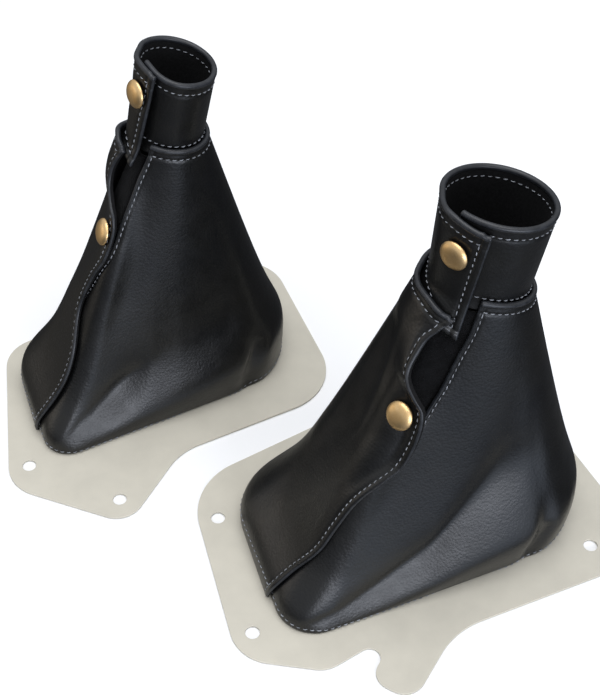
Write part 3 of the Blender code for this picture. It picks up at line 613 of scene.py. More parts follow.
def collar_face(boot, share, level):
    """Points of the collar's outer face, from its inner end to the tab's edge."""
    share, level = np.broadcast_arrays(np.asarray(share, float), np.asarray(level, float))
    tab = boot.tab
    top_end = tab.top_turn + 360
    turn = collar_turn(boot, share, level)
    seam_radius = np.full_like(turn, boot.seam.radius - LEATHER - SEAM_GAP)
    rim_radius = np.full_like(turn, boot.rim.radius + LEATHER / 2)
    seam_z = ring_height(boot.seam, turn, seam_radius) + PLATE + GAP
    rim_z = ring_height(boot.rim, turn, rim_radius) + PLATE + GAP
    lap = ease((turn - 360 - tab.ramp_turn) / (tab.over_turn - tab.ramp_turn))
    gentle = ease(1 - (top_end - turn) / (BROAD_SHARE * 360))
    steep = ease(1 - (top_end - turn) / TAB_STEEP_TURN)
    along = TAB_GENTLE * gentle + (1 - TAB_GENTLE) * steep
    low = seam_z - COLLAR_TUCK - (tab.tip_drop - COLLAR_TUCK) * along
    high = rim_z - tab.top_drop * along
    height = low + (high - low) * level
    climb = (height - seam_z) / (rim_z - seam_z)
    up_share = np.clip(climb, 0, 1)
    radius = seam_radius + (rim_radius - seam_radius) * up_share
    rise = np.clip((height - PLATE - GAP) / (seam_z - PLATE - GAP), 0, 1)
    flare = wall(boot, turn, rise) - wall(boot, turn, np.ones_like(rise))
    flare = np.hypot(flare[..., 0], flare[..., 1])
    flare = flare - SLOPE_CLEARANCE * (1 - np.exp(-flare))
    stand_off = tab.lap + (RIM_LAP - tab.lap) * up_share
    away = np.abs((turn - boot.tab_snap.turn + 180) % 360 - 180)
    press = tab.press * up_share * ease(1 - away / PRESS_TURN)
    radius = radius + flare + lap * stand_off - press
    centre_x = boot.seam.x + (boot.rim.x - boot.seam.x) * climb
    centre_y = boot.seam.y + (boot.rim.y - boot.seam.y) * climb
    points = radius[..., None] * outward(turn)
    points[..., 0] += centre_x
    points[..., 1] += centre_y
    points[..., 2] = height
    return points


def skirt_face(boot, share, level):
    """Points of the skirt's outer face, from its start edge to the flap's edge."""
    return lapped_wall(boot, *skirt_place(boot, share, level))


def face_directions(face, boot, share, level):
    """The outward and upward directions of a face, read from points close by."""
    step = 0.002
    d_share = face(boot, share + step, level) - face(boot, share - step, level)
    d_level = face(boot, share, level + step) - face(boot, share, level - step)
    return unit(np.cross(d_share, d_level)), unit(d_level)


# ---------------------------------------------------------------------------
# Fine leather: a grid of points with its hems, grooves and creases
# ---------------------------------------------------------------------------

# The fine grid: its steps, those up the collar, the columns that its lengths are first
# read from, and how far its lines lie from a free edge, from the top and from the foot. A
# free edge is rounded over half the thickness, and keeps the least share of it at the end
FINE_STEP = 1.5
COLLAR_STEP = 1.1
ROUGH_COLUMNS = 90
EDGE_MARKS = (0.0, 0.06, 0.2, 0.42, 0.7, 1.0, 1.5, 2.0, 2.5, 3.0, 3.5, 4.2, 5.0, 6.0)
TOP_MARKS = (0.0, 0.5, 1.0, 1.6, 2.2, 2.8, 3.4, 4.0, 4.8, 5.8)
FOOT_MARKS = (0.0, 0.15, 0.4, 0.8, 1.3, 1.9, 2.6, 3.3, 4.2, 5.4)
BEAD_POINTS = 12
LEAST_FULLNESS = 1e-4

# The turned hems: how wide they are from the edge to the stitches, how far and how
# squarely they swell, and how deep and how wide the stitches pull their groove
FLAP_HEM = 3.1
START_HEM = 2.2
TOP_HEM = 3.0
TAB_HEM = 3.8
HEM_SWELL = 0.35
HEM_FULLNESS = 0.7
GROOVE_DEPTH = 0.4
GROOVE_WIDTH = 0.75

# How much of the hem along the top lies under the rolled edge, and over how many degrees
# before the tab the hem of the collar's lower edge begins
ROLL_COVER = 1.2
TAB_HEM_TURN = 20

# The flap's turned hem seen from inside: how thick it is at most, how wide, and over what
# distance it runs out
TURNING_DEPTH = 0.8
TURNING_WIDTH = 4.5
TURNING_RUN = 2.0

# How the skirt's foot is rounded in to the plate: how deep and how high
FOOT_ROUND = 0.6
FOOT_ROUND_HEIGHT = 1.3

# The dents that the snaps press in the leather: their depth, radius and steepness, and how
# far above and below the snap's seat there is leather of the same layer
DENT_DEPTH = 0.45
DENT_RADIUS = 7.6
DENT_STEEPNESS = 6
DENT_REACH = 8

# How sharp a crease's bottom is, how much of its depth it keeps at its ends, and how
# quickly it gains the rest
CREASE_ROUND = 0.9
CREASE_ENDS = 0.1
CREASE_FADE = 0.6

# How softly the shelf turns at its lower line, and how softly at least at its crease, how
# low that line is taken at least, and over what height the cone above the shelf comes
# back to its place
SHELF_ROUND = 0.9
LEAST_ROUND = 0.2
LEAST_LOW = 2.0
SHELF_RETURN = 13.0

# The cone's front corner: its turn, and how wide and how deep it is rounded off. It starts
# at a height, and is full after a further climb, and a distance from the start edge
CORNER_TURN = 206.0
CORNER_WIDTH = 11.0
CORNER_DEPTH = 2.4
CORNER_HEIGHT = 6
CORNER_CLIMB = 22
CORNER_CLEAR = 30

# How far from the hem creases, shelves and turned hems are full, and creases from the top
CREASE_CLEAR = 5
SHELF_CLEAR = 2
SWELL_CLEAR = 2.5
TOP_CLEAR = 12

# The first folds of each boot are the solids' rougher form of the front shelf. The snaps
# sit as on the solids, with these folds, and the fine leather has the shelf in their place
ROUGH_FOLDS = 3

Leather = namedtuple("Leather", "outer inner normal up from_start from_end from_foot from_top")


def marks(length, near, far, step):
    """Distances along a length, with the near and far marks at its two ends."""
    middle = np.linspace(near[-1], length - far[-1], int((length - near[-1] - far[-1]) / step))
    return np.concatenate([near[:-1], middle, length - np.array(far[::-1])[1:]])


def swell(away, width):
    """The height of a turned hem and of the groove along it, at a distance from the edge."""
    crown = HEM_SWELL * np.sin(np.pi * np.clip(away / width, 0, 1)) ** HEM_FULLNESS
    groove = GROOVE_DEPTH * np.exp(-(((away - width) / GROOVE_WIDTH) ** 2))
    return crown - groove


def crease_relief(creases, turn, height, radius):
    """How far the creases push the leather out. Each fades towards its two ends."""
    relief = np.zeros_like(radius)
    for crease in creases:
        nearest = np.full_like(radius, np.inf)
        share = np.zeros_like(radius)
        above = np.zeros(radius.shape, bool)
        count = len(crease.path) - 1
        for k, ((turn_a, height_a), (turn_b, height_b)) in enumerate(
            zip(crease.path, crease.path[1:])
        ):
            across = np.radians(turn - turn_a) * radius
            up = height - height_a
            run = np.radians(turn_b - turn_a) * radius
            climb = height_b - height_a
            along = np.clip((across * run + up * climb) / (run * run + climb * climb), 0, 1)
            over = up - along * climb
            aside = across - along * run
            away = np.hypot(over, aside)
            closer = away < nearest
            nearest = np.where(closer, away, nearest)
            share = np.where(closer, (k + along) / count, share)
            above = np.where(closer, run * over - climb * aside > 0, above)
        sharp = np.sqrt(nearest**2 + CREASE_ROUND**2) - CREASE_ROUND
        width = np.where(above, crease.above, crease.below)
        fade = CREASE_ENDS + (1 - CREASE_ENDS) * np.sin(np.pi * share) ** CREASE_FADE
        relief += crease.depth * fade * np.exp(-sharp / width)
    return relief


def smaller(a, b, softness):
    """The smaller of two values, with a soft change from one to the other."""
    return -softness * np.logaddexp(-a / softness, -b / softness)


def shelf_relief(boot, rows, turn, rise):
    """How far the leather moves level with the ground, where it folds into a shelf.

    It stands out along the shelf's lower line, leans back evenly to the crease, swells out
    above it and comes back to its place over the cone.
    """
    full = ring_height(boot.seam, turn, np.full_like(turn, boot.seam.radius))
    height = rise * full

    def read(name):
        return through(turn, [(row.turn, getattr(row, name)) for row in rows])

    low, crease, slope, push, bulge = map(read, ("low", "crease", "slope", "push", "bulge"))
    softness = np.clip(read("round"), LEAST_ROUND, None)
    share = ease(np.interp(turn, [row.turn for row in rows], [row.share for row in rows]))
    at_low = wall_radius(boot, turn, low / full)
    at_crease = wall_radius(boot, turn, crease / full)
    lean = np.tan(np.radians(slope))
    sunk = at_low + push - (crease - low) * lean - at_crease
    below = push * ease(height / np.maximum(low, LEAST_LOW))
    shelf = at_low + push - (height - low) * lean - wall_radius(boot, turn, rise)
    up = (height - crease) / SHELF_RETURN
    over = np.clip(up, 0, None)
    above = sunk * np.exp(-np.clip(up, -2, None)) + bulge * over * np.exp(1 - over)
    return -smaller(-smaller(below, shelf, SHELF_ROUND), -above, softness) * share


def corner_relief(turn, height, from_start):
    """How far the cone's front corner is worn rounder than the corner of its hem."""
    near = np.exp(-(((turn - CORNER_TURN) / CORNER_WIDTH) ** 2))
    full = ease((height - CORNER_HEIGHT) / CORNER_CLIMB) * ease(from_start / CORNER_CLEAR)
    return -CORNER_DEPTH * near * full


def spans(points, axis):
    """Distances along the grid's lines from their first and from their last point."""
    steps = np.linalg.norm(np.diff(points, axis=axis), axis=-1)
    first = np.concatenate([np.zeros_like(np.take(steps, [0], axis)), steps], axis).cumsum(axis)
    return first, np.take(first, [-1], axis) - first


def fine_grid(face, boot, levels, near, far):
    """Shares that put each row's columns at the same distances from its two ends."""
    rough = face(boot, np.linspace(0, 1, ROUGH_COLUMNS)[:, None], levels[None, :])
    lengths = np.linalg.norm(np.diff(rough, axis=0), axis=-1).sum(0)
    longest = marks(lengths.max(), near, far, FINE_STEP)
    middle = np.linspace(0, 1, len(longest) - len(near) - len(far) + 2)
    columns = []
    for length in lengths:
        inner = near[-1] + (length - near[-1] - far[-1]) * middle
        row = np.concatenate([near[:-1], inner, length - np.array(far[::-1])[1:]])
        columns.append(row / length)
    return np.array(columns).T, np.broadcast_to(levels, (len(longest), len(levels)))


def snap_seats(boot):
    """The middle of each snap on the leather, with its outward direction."""
    across, up = np.meshgrid([-1.0, 0.0, 1.0], [-1.0, 0.0, 1.0], indexing="ij")
    tab = boot.tab
    tab_end = tab.tip_turn + (tab.top_turn - tab.tip_turn) * boot.tab_snap.rise
    sweep = tab_end + 360 - tab.under_turn
    half_turn = np.degrees(CAP_SEAT / boot.rim.radius)
    half_level = CAP_SEAT / (boot.rim.z - boot.seam.z + tab.tip_drop)
    share = (boot.tab_snap.turn + 360 - tab.under_turn + across * half_turn) / sweep
    on_tab = collar_face(boot, share, boot.tab_snap.rise + up * half_level)
    radius = wall_radius(boot, boot.flap_snap.turn, boot.flap_snap.rise)
    turn = boot.flap_snap.turn + 360 + across * np.degrees(CAP_SEAT / radius)
    on_flap = lapped_wall(boot, turn, boot.flap_snap.rise + up * CAP_SEAT / boot.seam.z)
    seats = {}
    for name, patch in (("tab", on_tab), ("flap", on_flap)):
        point = patch[1, 1]
        out = unit(np.cross(patch[2, 1] - patch[0, 1], patch[1, 2] - patch[1, 0]))
        seats[name] = (point, out, np.max((patch - point) @ out))
    return seats


def dent(points, seat):
    """How far a snap presses the leather in, at the points."""
    point, out, _ = seat
    away = points - point
    level = np.linalg.norm(away - (away @ out)[..., None] * out, axis=-1)
    near = np.abs(away @ out) < DENT_REACH
    return -DENT_DEPTH * np.exp(-((level / DENT_RADIUS) ** DENT_STEEPNESS)) * near


def edge_fullness(away, thickness):
    """The share of its thickness that a layer has, at a distance from its rounded edge."""
    share = np.clip(away / (thickness / 2), 0, 1)
    return np.maximum(np.sqrt(1 - (1 - share) ** 2), LEAST_FULLNESS)


@lru_cache(maxsize=None)
def skirt_leather(boot):
    """The fine skirt: outer and inner points, with their directions and edge distances."""
    seats = snap_seats(boot)
    boot = boot._replace(folds=boot.folds[ROUGH_FOLDS:])
    height = boot.seam.z
    levels = marks(height, FOOT_MARKS, TOP_MARKS, FINE_STEP) / height
    share, level = fine_grid(skirt_face, boot, levels, EDGE_MARKS, EDGE_MARKS)
    points = skirt_face(boot, share, level)
    normal, up = face_directions(skirt_face, boot, share, level)
    turn, rise = skirt_place(boot, share, level)
    from_start, from_end = spans(points, 0)
    from_foot, from_top = spans(points, 1)
    radius = wall_radius(boot, turn, rise)
    above_hem = points[..., 2] - PLATE - GAP
    moved = crease_relief(boot.creases, turn, above_hem, radius)
    moved = moved * ease(from_foot / CREASE_CLEAR) * ease(from_top / TOP_CLEAR)
    level_out = np.sum(normal * outward(turn), -1)
    for rows in (boot.shelf, boot.rear_shelf):
        shelf = shelf_relief(boot, rows, turn, rise)
        moved = moved + shelf * level_out * ease(from_foot / SHELF_CLEAR)
    moved = moved + corner_relief(turn, above_hem, from_start)
    moved = moved + dent(points, seats["flap"])
    raised = swell(from_end, FLAP_HEM) + swell(from_start, START_HEM)
    raised = raised + np.minimum(0, swell(from_top + ROLL_COVER, TOP_HEM + ROLL_COVER))
    raised = raised * ease(from_foot / SWELL_CLEAR)
    room = np.clip(through(rise, boot.edge_lifts) - FLAP_LIFT, 0, TURNING_DEPTH)
    turned = room * (1 - ease((from_end - TURNING_WIDTH) / TURNING_RUN))
    to_foot = 1 - np.clip(from_foot / FOOT_ROUND_HEIGHT, 0, 1)
    foot_round = FOOT_ROUND * (1 - np.sqrt(1 - to_foot**2))
    fullness = edge_fullness(np.minimum(from_start, from_end), LEATHER)
    middle = points + (moved - LEATHER / 2)[..., None] * normal
    out = (LEATHER / 2 + raised) * fullness - foot_round
    back = (LEATHER / 2 + turned) * fullness
    outer = middle + out[..., None] * normal
    inner = middle - back[..., None] * normal
    edges = (from_start, from_end, from_foot, from_top)
    return Leather(outer, inner, normal, up, *edges), fullness


@lru_cache(maxsize=None)
def collar_leather(boot):
    """The fine collar, as for the skirt."""
    height = boot.rim.z - boot.seam.z + COLLAR_TUCK
    levels = marks(height, EDGE_MARKS, TOP_MARKS, COLLAR_STEP) / height
    share, level = fine_grid(collar_face, boot, levels, EDGE_MARKS, EDGE_MARKS)
    points = collar_face(boot, share, level)
    normal, up = face_directions(collar_face, boot, share, level)
    from_start, from_end = spans(points, 0)
    from_foot, from_top = spans(points, 1)
    moved = dent(points, snap_seats(boot)["tab"])
    turn = collar_turn(boot, share, level)
    on_tab = ease((turn - 360 - boot.tab.over_turn + TAB_HEM_TURN) / TAB_HEM_TURN)
    raised = swell(from_end, TAB_HEM) + on_tab * swell(from_foot, TAB_HEM)
    raised = raised + np.minimum(0, swell(from_top + ROLL_COVER, TAB_HEM + ROLL_COVER))
    fullness = edge_fullness(np.minimum(np.minimum(from_start, from_end), from_foot), LEATHER)
    middle = points + (moved - LEATHER / 2)[..., None] * normal
    outer = middle + ((LEATHER / 2 + raised) * fullness)[..., None] * normal
    inner = middle - (LEATHER / 2 * fullness)[..., None] * normal
    edges = (from_start, from_end, from_foot, from_top)
    return Leather(outer, inner, normal, up, *edges), fullness


def bead(leather, fullness, roll, inner_roll):
    """The rolled edge along the top of the leather, a round bead over its thickness."""
    outer = leather.outer[:, -1]
    inner = leather.inner[:, -1]
    normal = leather.normal[:, -1]
    up = leather.up[:, -1]
    full = fullness[:, -1:]
    reach = roll * full
    centre = inner + (reach - inner_roll * full) * normal
    side = np.sum((outer - centre) * normal, -1, keepdims=True) / reach
    first = -np.arccos(np.clip(side, -1, 1))
    back = np.sum((centre - inner) * normal, -1, keepdims=True) / reach
    last = np.pi + np.arccos(np.clip(back, -1, 1))
    centre = centre - up * reach * np.sin(first)
    share = np.linspace(0, 1, BEAD_POINTS + 2)[1:-1]
    angle = (first + (last - first) * share)[..., None]
    return centre[:, None] + reach[:, None] * (
        np.cos(angle) * normal[:, None] + np.sin(angle) * up[:, None]
    )


# ---------------------------------------------------------------------------
# Meshes
# ---------------------------------------------------------------------------


def placed(boot, points):
    """Points of a boot's own frame, in metres where the boot stands in the pair."""
    angle = np.radians(boot.heading)
    x = points[..., 0] * np.cos(angle) - points[..., 1] * np.sin(angle) + boot.x + SHIFT[0]
    y = points[..., 0] * np.sin(angle) + points[..., 1] * np.cos(angle) + boot.y + SHIFT[1]
    return np.stack([x, y, points[..., 2]], -1) * MM


def placement(boot):
    """A boot's place in the pair as a matrix, for pieces modelled in metres."""
    shift = Vector(((boot.x + SHIFT[0]) * MM, (boot.y + SHIFT[1]) * MM, 0))
    return Matrix.Translation(shift) @ Matrix.Rotation(math.radians(boot.heading), 4, "Z")


def new_piece(name, mesh, *materials):
    """An object of the mesh, linked to the scene, with its materials in order."""
    piece = bpy.data.objects.new(name, mesh)
    bpy.context.scene.collection.objects.link(piece)
    for material in materials:
        mesh.materials.append(material)
    return piece


# Points nearer than this, in metres, are one, and edge paint covers this much of an edge
MERGE = 1e-6
PAINTED_EDGE = 0.75


def closed_shell(name, sections, slots, *materials):
    """A closed shell through loops of points, with each strip's material slot."""
    count, size = sections.shape[:2]
    index = np.arange(count * size).reshape(count, size)
    following = np.roll(index, -1, axis=1)
    quads = np.stack([index[:-1], index[1:], following[1:], following[:-1]], -1)
    mesh = bpy.data.meshes.new(name)
    mesh.from_pydata(sections.reshape(-1, 3).tolist(), [], quads.reshape(-1, 4).tolist())
    mesh.polygons.foreach_set("material_index", np.broadcast_to(slots, quads.shape[:2]).ravel())
    merged = bmesh.new()
    merged.from_mesh(mesh)
    bmesh.ops.remove_doubles(merged, verts=merged.verts, dist=MERGE)
    bmesh.ops.recalc_face_normals(merged, faces=merged.faces)
    merged.to_mesh(mesh)
    merged.free()
    mesh.shade_smooth()
    return new_piece(name, mesh, *materials)


def rolled_shell(boot, name, leather, fullness, inner_roll, *materials):
    """The leather as a closed shell: outer face, rolled top edge and inner face.

    The first material is the grain side, the second the inner side and the third the cut
    edge and the rolled bead, whose paler colour is partly painted sheen.
    """
    rolled = bead(leather, fullness, SEAM_ROLL, inner_roll)
    sections = np.concatenate([leather.outer, rolled, leather.inner[:, ::-1]], axis=1)
    rows = leather.outer.shape[1]
    slots = np.zeros((sections.shape[0] - 1, sections.shape[1]), np.int32)
    slots[:, rows + BEAD_POINTS :] = 1
    # The rolled bead and the cut edges take the edge paint, whose paler colour is partly a
    # painted sheen on the bead
    slots[:, rows - 1 : rows + BEAD_POINTS] = 2
    edge = np.minimum(leather.from_start, leather.from_end)
    cut = (edge[1:] + edge[:-1]) / 2 < PAINTED_EDGE
    slots[:, :rows][cut] = 2
    return closed_shell(name, placed(boot, sections), slots, *materials)


def across_row(field, distance, at, axis):
    """Values of a field where a distance, read along the axis, first reaches each at."""
    lines = np.moveaxis(field, axis, 0)
    reach = np.moveaxis(distance, axis, 0)
    if reach[0].mean() > reach[-1].mean():
        lines = lines[::-1]
        reach = reach[::-1]
    at = np.broadcast_to(at, reach.shape[1])
    values = [
        [np.interp(at[k], reach[:, k], lines[:, k, part]) for part in range(3)]
        for k in range(reach.shape[1])
    ]
    return np.array(values)


# ---------------------------------------------------------------------------
# Stitching
# ---------------------------------------------------------------------------

# A stitch: its sides and rings, how far it arches out of its groove, how far its ends sink
# below that as a share of the arch, and how much thinner they are
STITCH_SIDES = 6
STITCH_RINGS = 5
STITCH_ARCH = 0.18
STITCH_SINK = 1.9
STITCH_TAPER = 0.35

# How far stitches slant from the seam, in degrees, and how much their slants and lengths
# differ, as by hand and machine feed
STITCH_SLANT = 7.0
SLANT_SPREAD = 2.0
LENGTH_SPREAD = 0.05
STITCH_SEED = 11

# Half the length of seam over which its direction is read
SEAM_REACH = 0.6

# How far each seam stops short of the leather's two ends
SKIRT_ENDS = (2.0, 3.5)
FLAP_ENDS = (2.5, 3.5)
COLLAR_ENDS = (4.0, 3.5)
INNER_ENDS = (4.0, 20.0)
TAB_ENDS = (3.5, 3.5)

# How far the collar's rows lie from its edges: the one under the rim, the one inside it,
# and the one that shows above the skirt's rolled edge
RIM_ROW = TAB_HEM - 0.5
INNER_ROW = 3.2
LOW_ROW = COLLAR_TUCK + SEAM_ROLL + 1.4


def stitch_form(length, thickness):
    """One stitch, modelled once: a thread that arches from hole to hole.

    It lies along +X, with +Z out of the leather.
    """
    bpy.ops.object.select_all(action="DESELECT")
    bpy.ops.mesh.primitive_cylinder_add(
        vertices=STITCH_SIDES,
        radius=thickness / 2,
        depth=length,
        end_fill_type="NGON",
        location=(0, 0, 0),
    )
    stitch = bpy.context.object
    bpy.ops.object.mode_set(mode="EDIT")
    for k in range(1, STITCH_RINGS):
        bpy.ops.mesh.select_all(action="SELECT")
        bpy.ops.mesh.bisect(
            plane_co=(0, 0, length * (k / STITCH_RINGS - 0.5)), plane_no=(0, 0, 1)
        )
    bpy.ops.mesh.select_all(action="DESELECT")
    bpy.ops.object.mode_set(mode="OBJECT")
    points = np.array([v.co[:] for v in stitch.data.vertices])
    faces = [tuple(p.vertices) for p in stitch.data.polygons]
    bpy.data.objects.remove(stitch, do_unlink=True)
    share = points[:, 2] / (length / 2)
    taper = 1 - STITCH_TAPER * np.abs(share) ** 3
    form = np.stack([points[:, 2], points[:, 1] * taper, points[:, 0] * taper], -1)
    form[:, 2] += STITCH_ARCH * (1 - STITCH_SINK * share**2)
    return form, faces


def stitch_places(path, normals, pitch, ends):
    """Where the stitches of a seam lie along its path: middles, directions, normals."""
    reach = np.concatenate([[0], np.linalg.norm(np.diff(path, axis=0), axis=-1).cumsum()])
    usable = reach[-1] - ends[0] - ends[1]
    count = max(1, int(round(usable / pitch)))
    at = ends[0] + (np.arange(count) + 0.5) * usable / count

    def read(values, where):
        return np.stack([np.interp(where, reach, values[:, k]) for k in range(3)], -1)

    middle = read(path, at)
    ahead = unit(read(path, at + SEAM_REACH) - read(path, at - SEAM_REACH))
    out = read(normals, at)
    out = unit(out - np.sum(out * ahead, -1, keepdims=True) * ahead)
    return middle, ahead, out


def seam_of_stitches(boot, name, seams, settings, material):
    """All the stitches of a piece of leather, as one mesh of separate threads."""
    length = settings.stitch_pitch / MM * settings.stitch_share
    form, faces = stitch_form(length, settings.thread / MM)
    rng = np.random.default_rng(len(name) + STITCH_SEED)
    points = []
    for path, normals, ends in seams:
        places = stitch_places(path, normals, settings.stitch_pitch / MM, ends)
        for middle, ahead, out in zip(*places):
            slant = math.radians(STITCH_SLANT + rng.normal(0, SLANT_SPREAD))
            side = np.cross(out, ahead)
            along = ahead * math.cos(slant) + side * math.sin(slant)
            side = np.cross(out, along)
            size = 1 + rng.normal(0, LENGTH_SPREAD)
            points.append(
                middle + form[:, :1] * size * along + form[:, 1:2] * side + form[:, 2:] * out
            )
    points = np.array(points)
    mesh = bpy.data.meshes.new(name)
    size = len(form)
    every = [tuple(k * size + i for i in face) for k in range(len(points)) for face in faces]
    mesh.from_pydata(placed(boot, points.reshape(-1, 3)).tolist(), [], every)
    mesh.shade_smooth()
    return new_piece(name, mesh, material)


def row_seam(leather, distance, at, axis, ends, inside=False):
    """A seam at a distance from an edge: its path, normals and unstitched ends."""
    field = leather.inner if inside else leather.outer
    path = across_row(field, distance, at, axis)
    normals = across_row(leather.normal, distance, at, axis)
    return path, -normals if inside else normals, ends


def skirt_seams(boot):
    """The seams of the skirt: along the flap, the start edge, the top and the hem."""
    leather = skirt_leather(boot)[0]
    turn = skirt_place(boot, np.linspace(0, 1, leather.outer.shape[0]), 0.0)[0]
    hem = round_the_boot(turn, boot.hem_rows)
    return [
        row_seam(leather, leather.from_end, FLAP_HEM, 0, FLAP_ENDS),
        row_seam(leather, leather.from_start, START_HEM, 0, SKIRT_ENDS),
        row_seam(leather, leather.from_top, TOP_HEM, 1, SKIRT_ENDS),
        row_seam(leather, leather.from_foot, hem, 1, SKIRT_ENDS),
    ]


def collar_seams(boot):
    """The seams of the collar: along the rim, inside it, down the tab and along the foot."""
    leather = collar_leather(boot)[0]
    columns = np.linspace(0, 1, leather.outer.shape[0])
    turn = collar_turn(boot, columns, 0.0)
    lap = ease((turn - 360 - boot.tab.ramp_turn) / (boot.tab.over_turn - boot.tab.ramp_turn))
    bottom = LOW_ROW + (TAB_HEM - LOW_ROW) * lap
    return [
        row_seam(leather, leather.from_top, RIM_ROW, 1, COLLAR_ENDS),
        row_seam(leather, leather.from_top, INNER_ROW, 1, INNER_ENDS, inside=True),
        row_seam(leather, leather.from_end, TAB_HEM, 0, TAB_ENDS),
        row_seam(leather, leather.from_foot, bottom, 1, COLLAR_ENDS),
    ]


# ---------------------------------------------------------------------------
# Materials
# ---------------------------------------------------------------------------


def set_node(owner, node, settings, links):
    """Gives a node its values and the sockets that feed it.

    A colour ramp's "stops" are pairs of a position and a colour.
    """
    for key, value in settings.items():
        if key == "stops":
            for stop, (position, colour) in zip(node.color_ramp.elements, value):
                stop.position = position
                stop.color = (*colour, 1)
        elif key in node.inputs:
            node.inputs[key].default_value = value
        else:
            setattr(node, key, value)
    for key, source in links.items():
        owner.node_tree.links.new(source, node.inputs[key])


def add_node(owner, kind, settings=None, links=None):
    """Adds a node to a material or a world."""
    node = owner.node_tree.nodes.new(kind)
    set_node(owner, node, settings or {}, links or {})
    return node


def new_material(name, values):
    """A material with one Principled shader, and the shader itself."""
    material = bpy.data.materials.new(name)
    material.use_nodes = True
    shader = material.node_tree.nodes["Principled BSDF"]
    set_node(material, shader, values, {})
    return material, shader


def shade(colour, factor):
    """The colour, made lighter or darker."""
    return tuple(min(1.0, c * factor) for c in colour)


def per(millimetres):
    """The scale of a pattern with one cell in this many millimetres."""
    return 1 / (millimetres * MM)


# A diagonal wave repeats within its scale's cells in this share of one
WAVE_REPEAT = 2 * math.pi / (10 * math.sqrt(3))

# Noise keeps to the middle of its range, so a colour and a roughness change over this
# part of it
COLOUR_STOPS = (0.35, 0.65)
ROUGHNESS_RANGE = {"From Min": 0.3, "From Max": 0.7}


def clouded(name, values, cloud, tints, bump, stops=COLOUR_STOPS, roughness=None, relief=None):
    """A material whose colour, and roughness where it is given, change with one noise.

    Its relief follows that noise too, or else another pattern: a kind of node and what it
    is set to.
    """
    material, shader = new_material(name, values)
    place = add_node(material, "ShaderNodeTexCoord").outputs["Object"]
    noise = add_node(material, "ShaderNodeTexNoise", cloud, {"Vector": place}).outputs["Fac"]
    tint = add_node(
        material, "ShaderNodeValToRGB", {"stops": zip(stops, tints)}, {"Fac": noise}
    )
    height = noise
    if relief:
        height = add_node(material, *relief, {"Vector": place}).outputs["Fac"]
    normal = add_node(material, "ShaderNodeBump", bump, {"Height": height})
    links = {"Base Color": tint.outputs["Color"], "Normal": normal.outputs["Normal"]}
    if roughness:
        least, most = roughness
        spread = add_node(
            material,
            "ShaderNodeMapRange",
            {**ROUGHNESS_RANGE, "To Min": least, "To Max": most},
            {"Value": noise},
        )
        links["Roughness"] = spread.outputs["Result"]
    set_node(material, shader, {}, links)
    return material


def grain_leather(name, colour):
    """Chrome-tanned calf leather, dyed black, with a pressed pebble grain and wax finish.

    The eye sees a near-black face, a soft broad sheen on what faces the light, pebbles a
    little over 1 mm across, and slow changes from blue-black to brown-black. The pebbles
    of real leather like this are 0.4 mm or less. They wouldn't show in the render, so
    they are drawn coarser.
    """
    material, shader = new_material(name, {"IOR": 1.5, "Specular IOR Level": 0.5})
    place = add_node(material, "ShaderNodeTexCoord").outputs["Object"]
    # The dye has taken unevenly, in clouds of about 26 mm, and the wax in clouds of 8 mm
    dye = add_node(
        material,
        "ShaderNodeTexNoise",
        {"Scale": per(26.3), "Detail": 3.0, "Roughness": 0.6},
        {"Vector": place},
    )
    warm = (colour[0] * 1.25, colour[1] * 1.12, colour[2] * 0.85)
    dyed = add_node(
        material,
        "ShaderNodeValToRGB",
        {"stops": zip(COLOUR_STOPS, (shade(colour, 0.8), warm))},
        {"Fac": dye.outputs["Fac"]},
    )
    wax = add_node(
        material,
        "ShaderNodeTexNoise",
        {"Scale": per(8.33), "Detail": 4.0, "Roughness": 0.65},
        {"Vector": place},
    )
    sheen = add_node(
        material,
        "ShaderNodeMapRange",
        {**ROUGHNESS_RANGE, "To Min": 0.31, "To Max": 0.4},
        {"Value": wax.outputs["Fac"]},
    )
    # The hide is uneven over 2.4 mm, and the pebbles are pressed into that
    hide = add_node(
        material,
        "ShaderNodeTexNoise",
        {"Scale": per(2.38), "Detail": 3.0, "Roughness": 0.6},
        {"Vector": place},
    )
    soft = add_node(
        material,
        "ShaderNodeBump",
        {"Strength": 0.15, "Distance": 0.4 * MM},
        {"Height": hide.outputs["Fac"]},
    )
    pebbles = add_node(
        material,
        "ShaderNodeTexVoronoi",
        {"Scale": per(1.22), "Randomness": 1.0},
        {"Vector": place},
    )
    grain = add_node(
        material,
        "ShaderNodeBump",
        {"Strength": 0.22, "Distance": 0.25 * MM, "invert": True},
        {"Height": pebbles.outputs["Distance"], "Normal": soft.outputs["Normal"]},
    )
    links = {
        "Base Color": dyed.outputs["Color"],
        "Roughness": sheen.outputs["Result"],
        "Normal": grain.outputs["Normal"],
    }
    set_node(material, shader, {}, links)
    return material


def flesh_side(name, colour):
    """The flesh side of the leather: matt, short-fibred and almost without sheen.

    Its fibres are really well under 0.1 mm thick. They are drawn as tufts of 1.1 mm.
    """
    return clouded(
        name,
        {"Roughness": 0.92, "Specular IOR Level": 0.18},
        cloud={"Scale": per(1.11), "Detail": 4.0, "Roughness": 0.7},
        tints=(shade(colour, 0.6), shade(colour, 1.5)),
        bump={"Strength": 0.5, "Distance": 0.3 * MM},
    )


def edge_paint_and_painted_sheen(name, colour):
    """Blue-black edge paint, brushed on: smooth, with drag marks some 3 mm long.

    Its colour is a little paler than the leather's face. The edge paint is real, and the
    extra paleness of the rolled edges is painted sheen, for the light they catch from above.
    """
    return clouded(
        name,
        {"IOR": 1.5, "Specular IOR Level": 0.5},
        cloud={"Scale": per(3.33), "Detail": 3.0},
        tints=(shade(colour, 0.8), shade(colour, 1.5)),
        bump={"Strength": 0.2, "Distance": 0.2 * MM},
        roughness=(0.36, 0.48),
    )


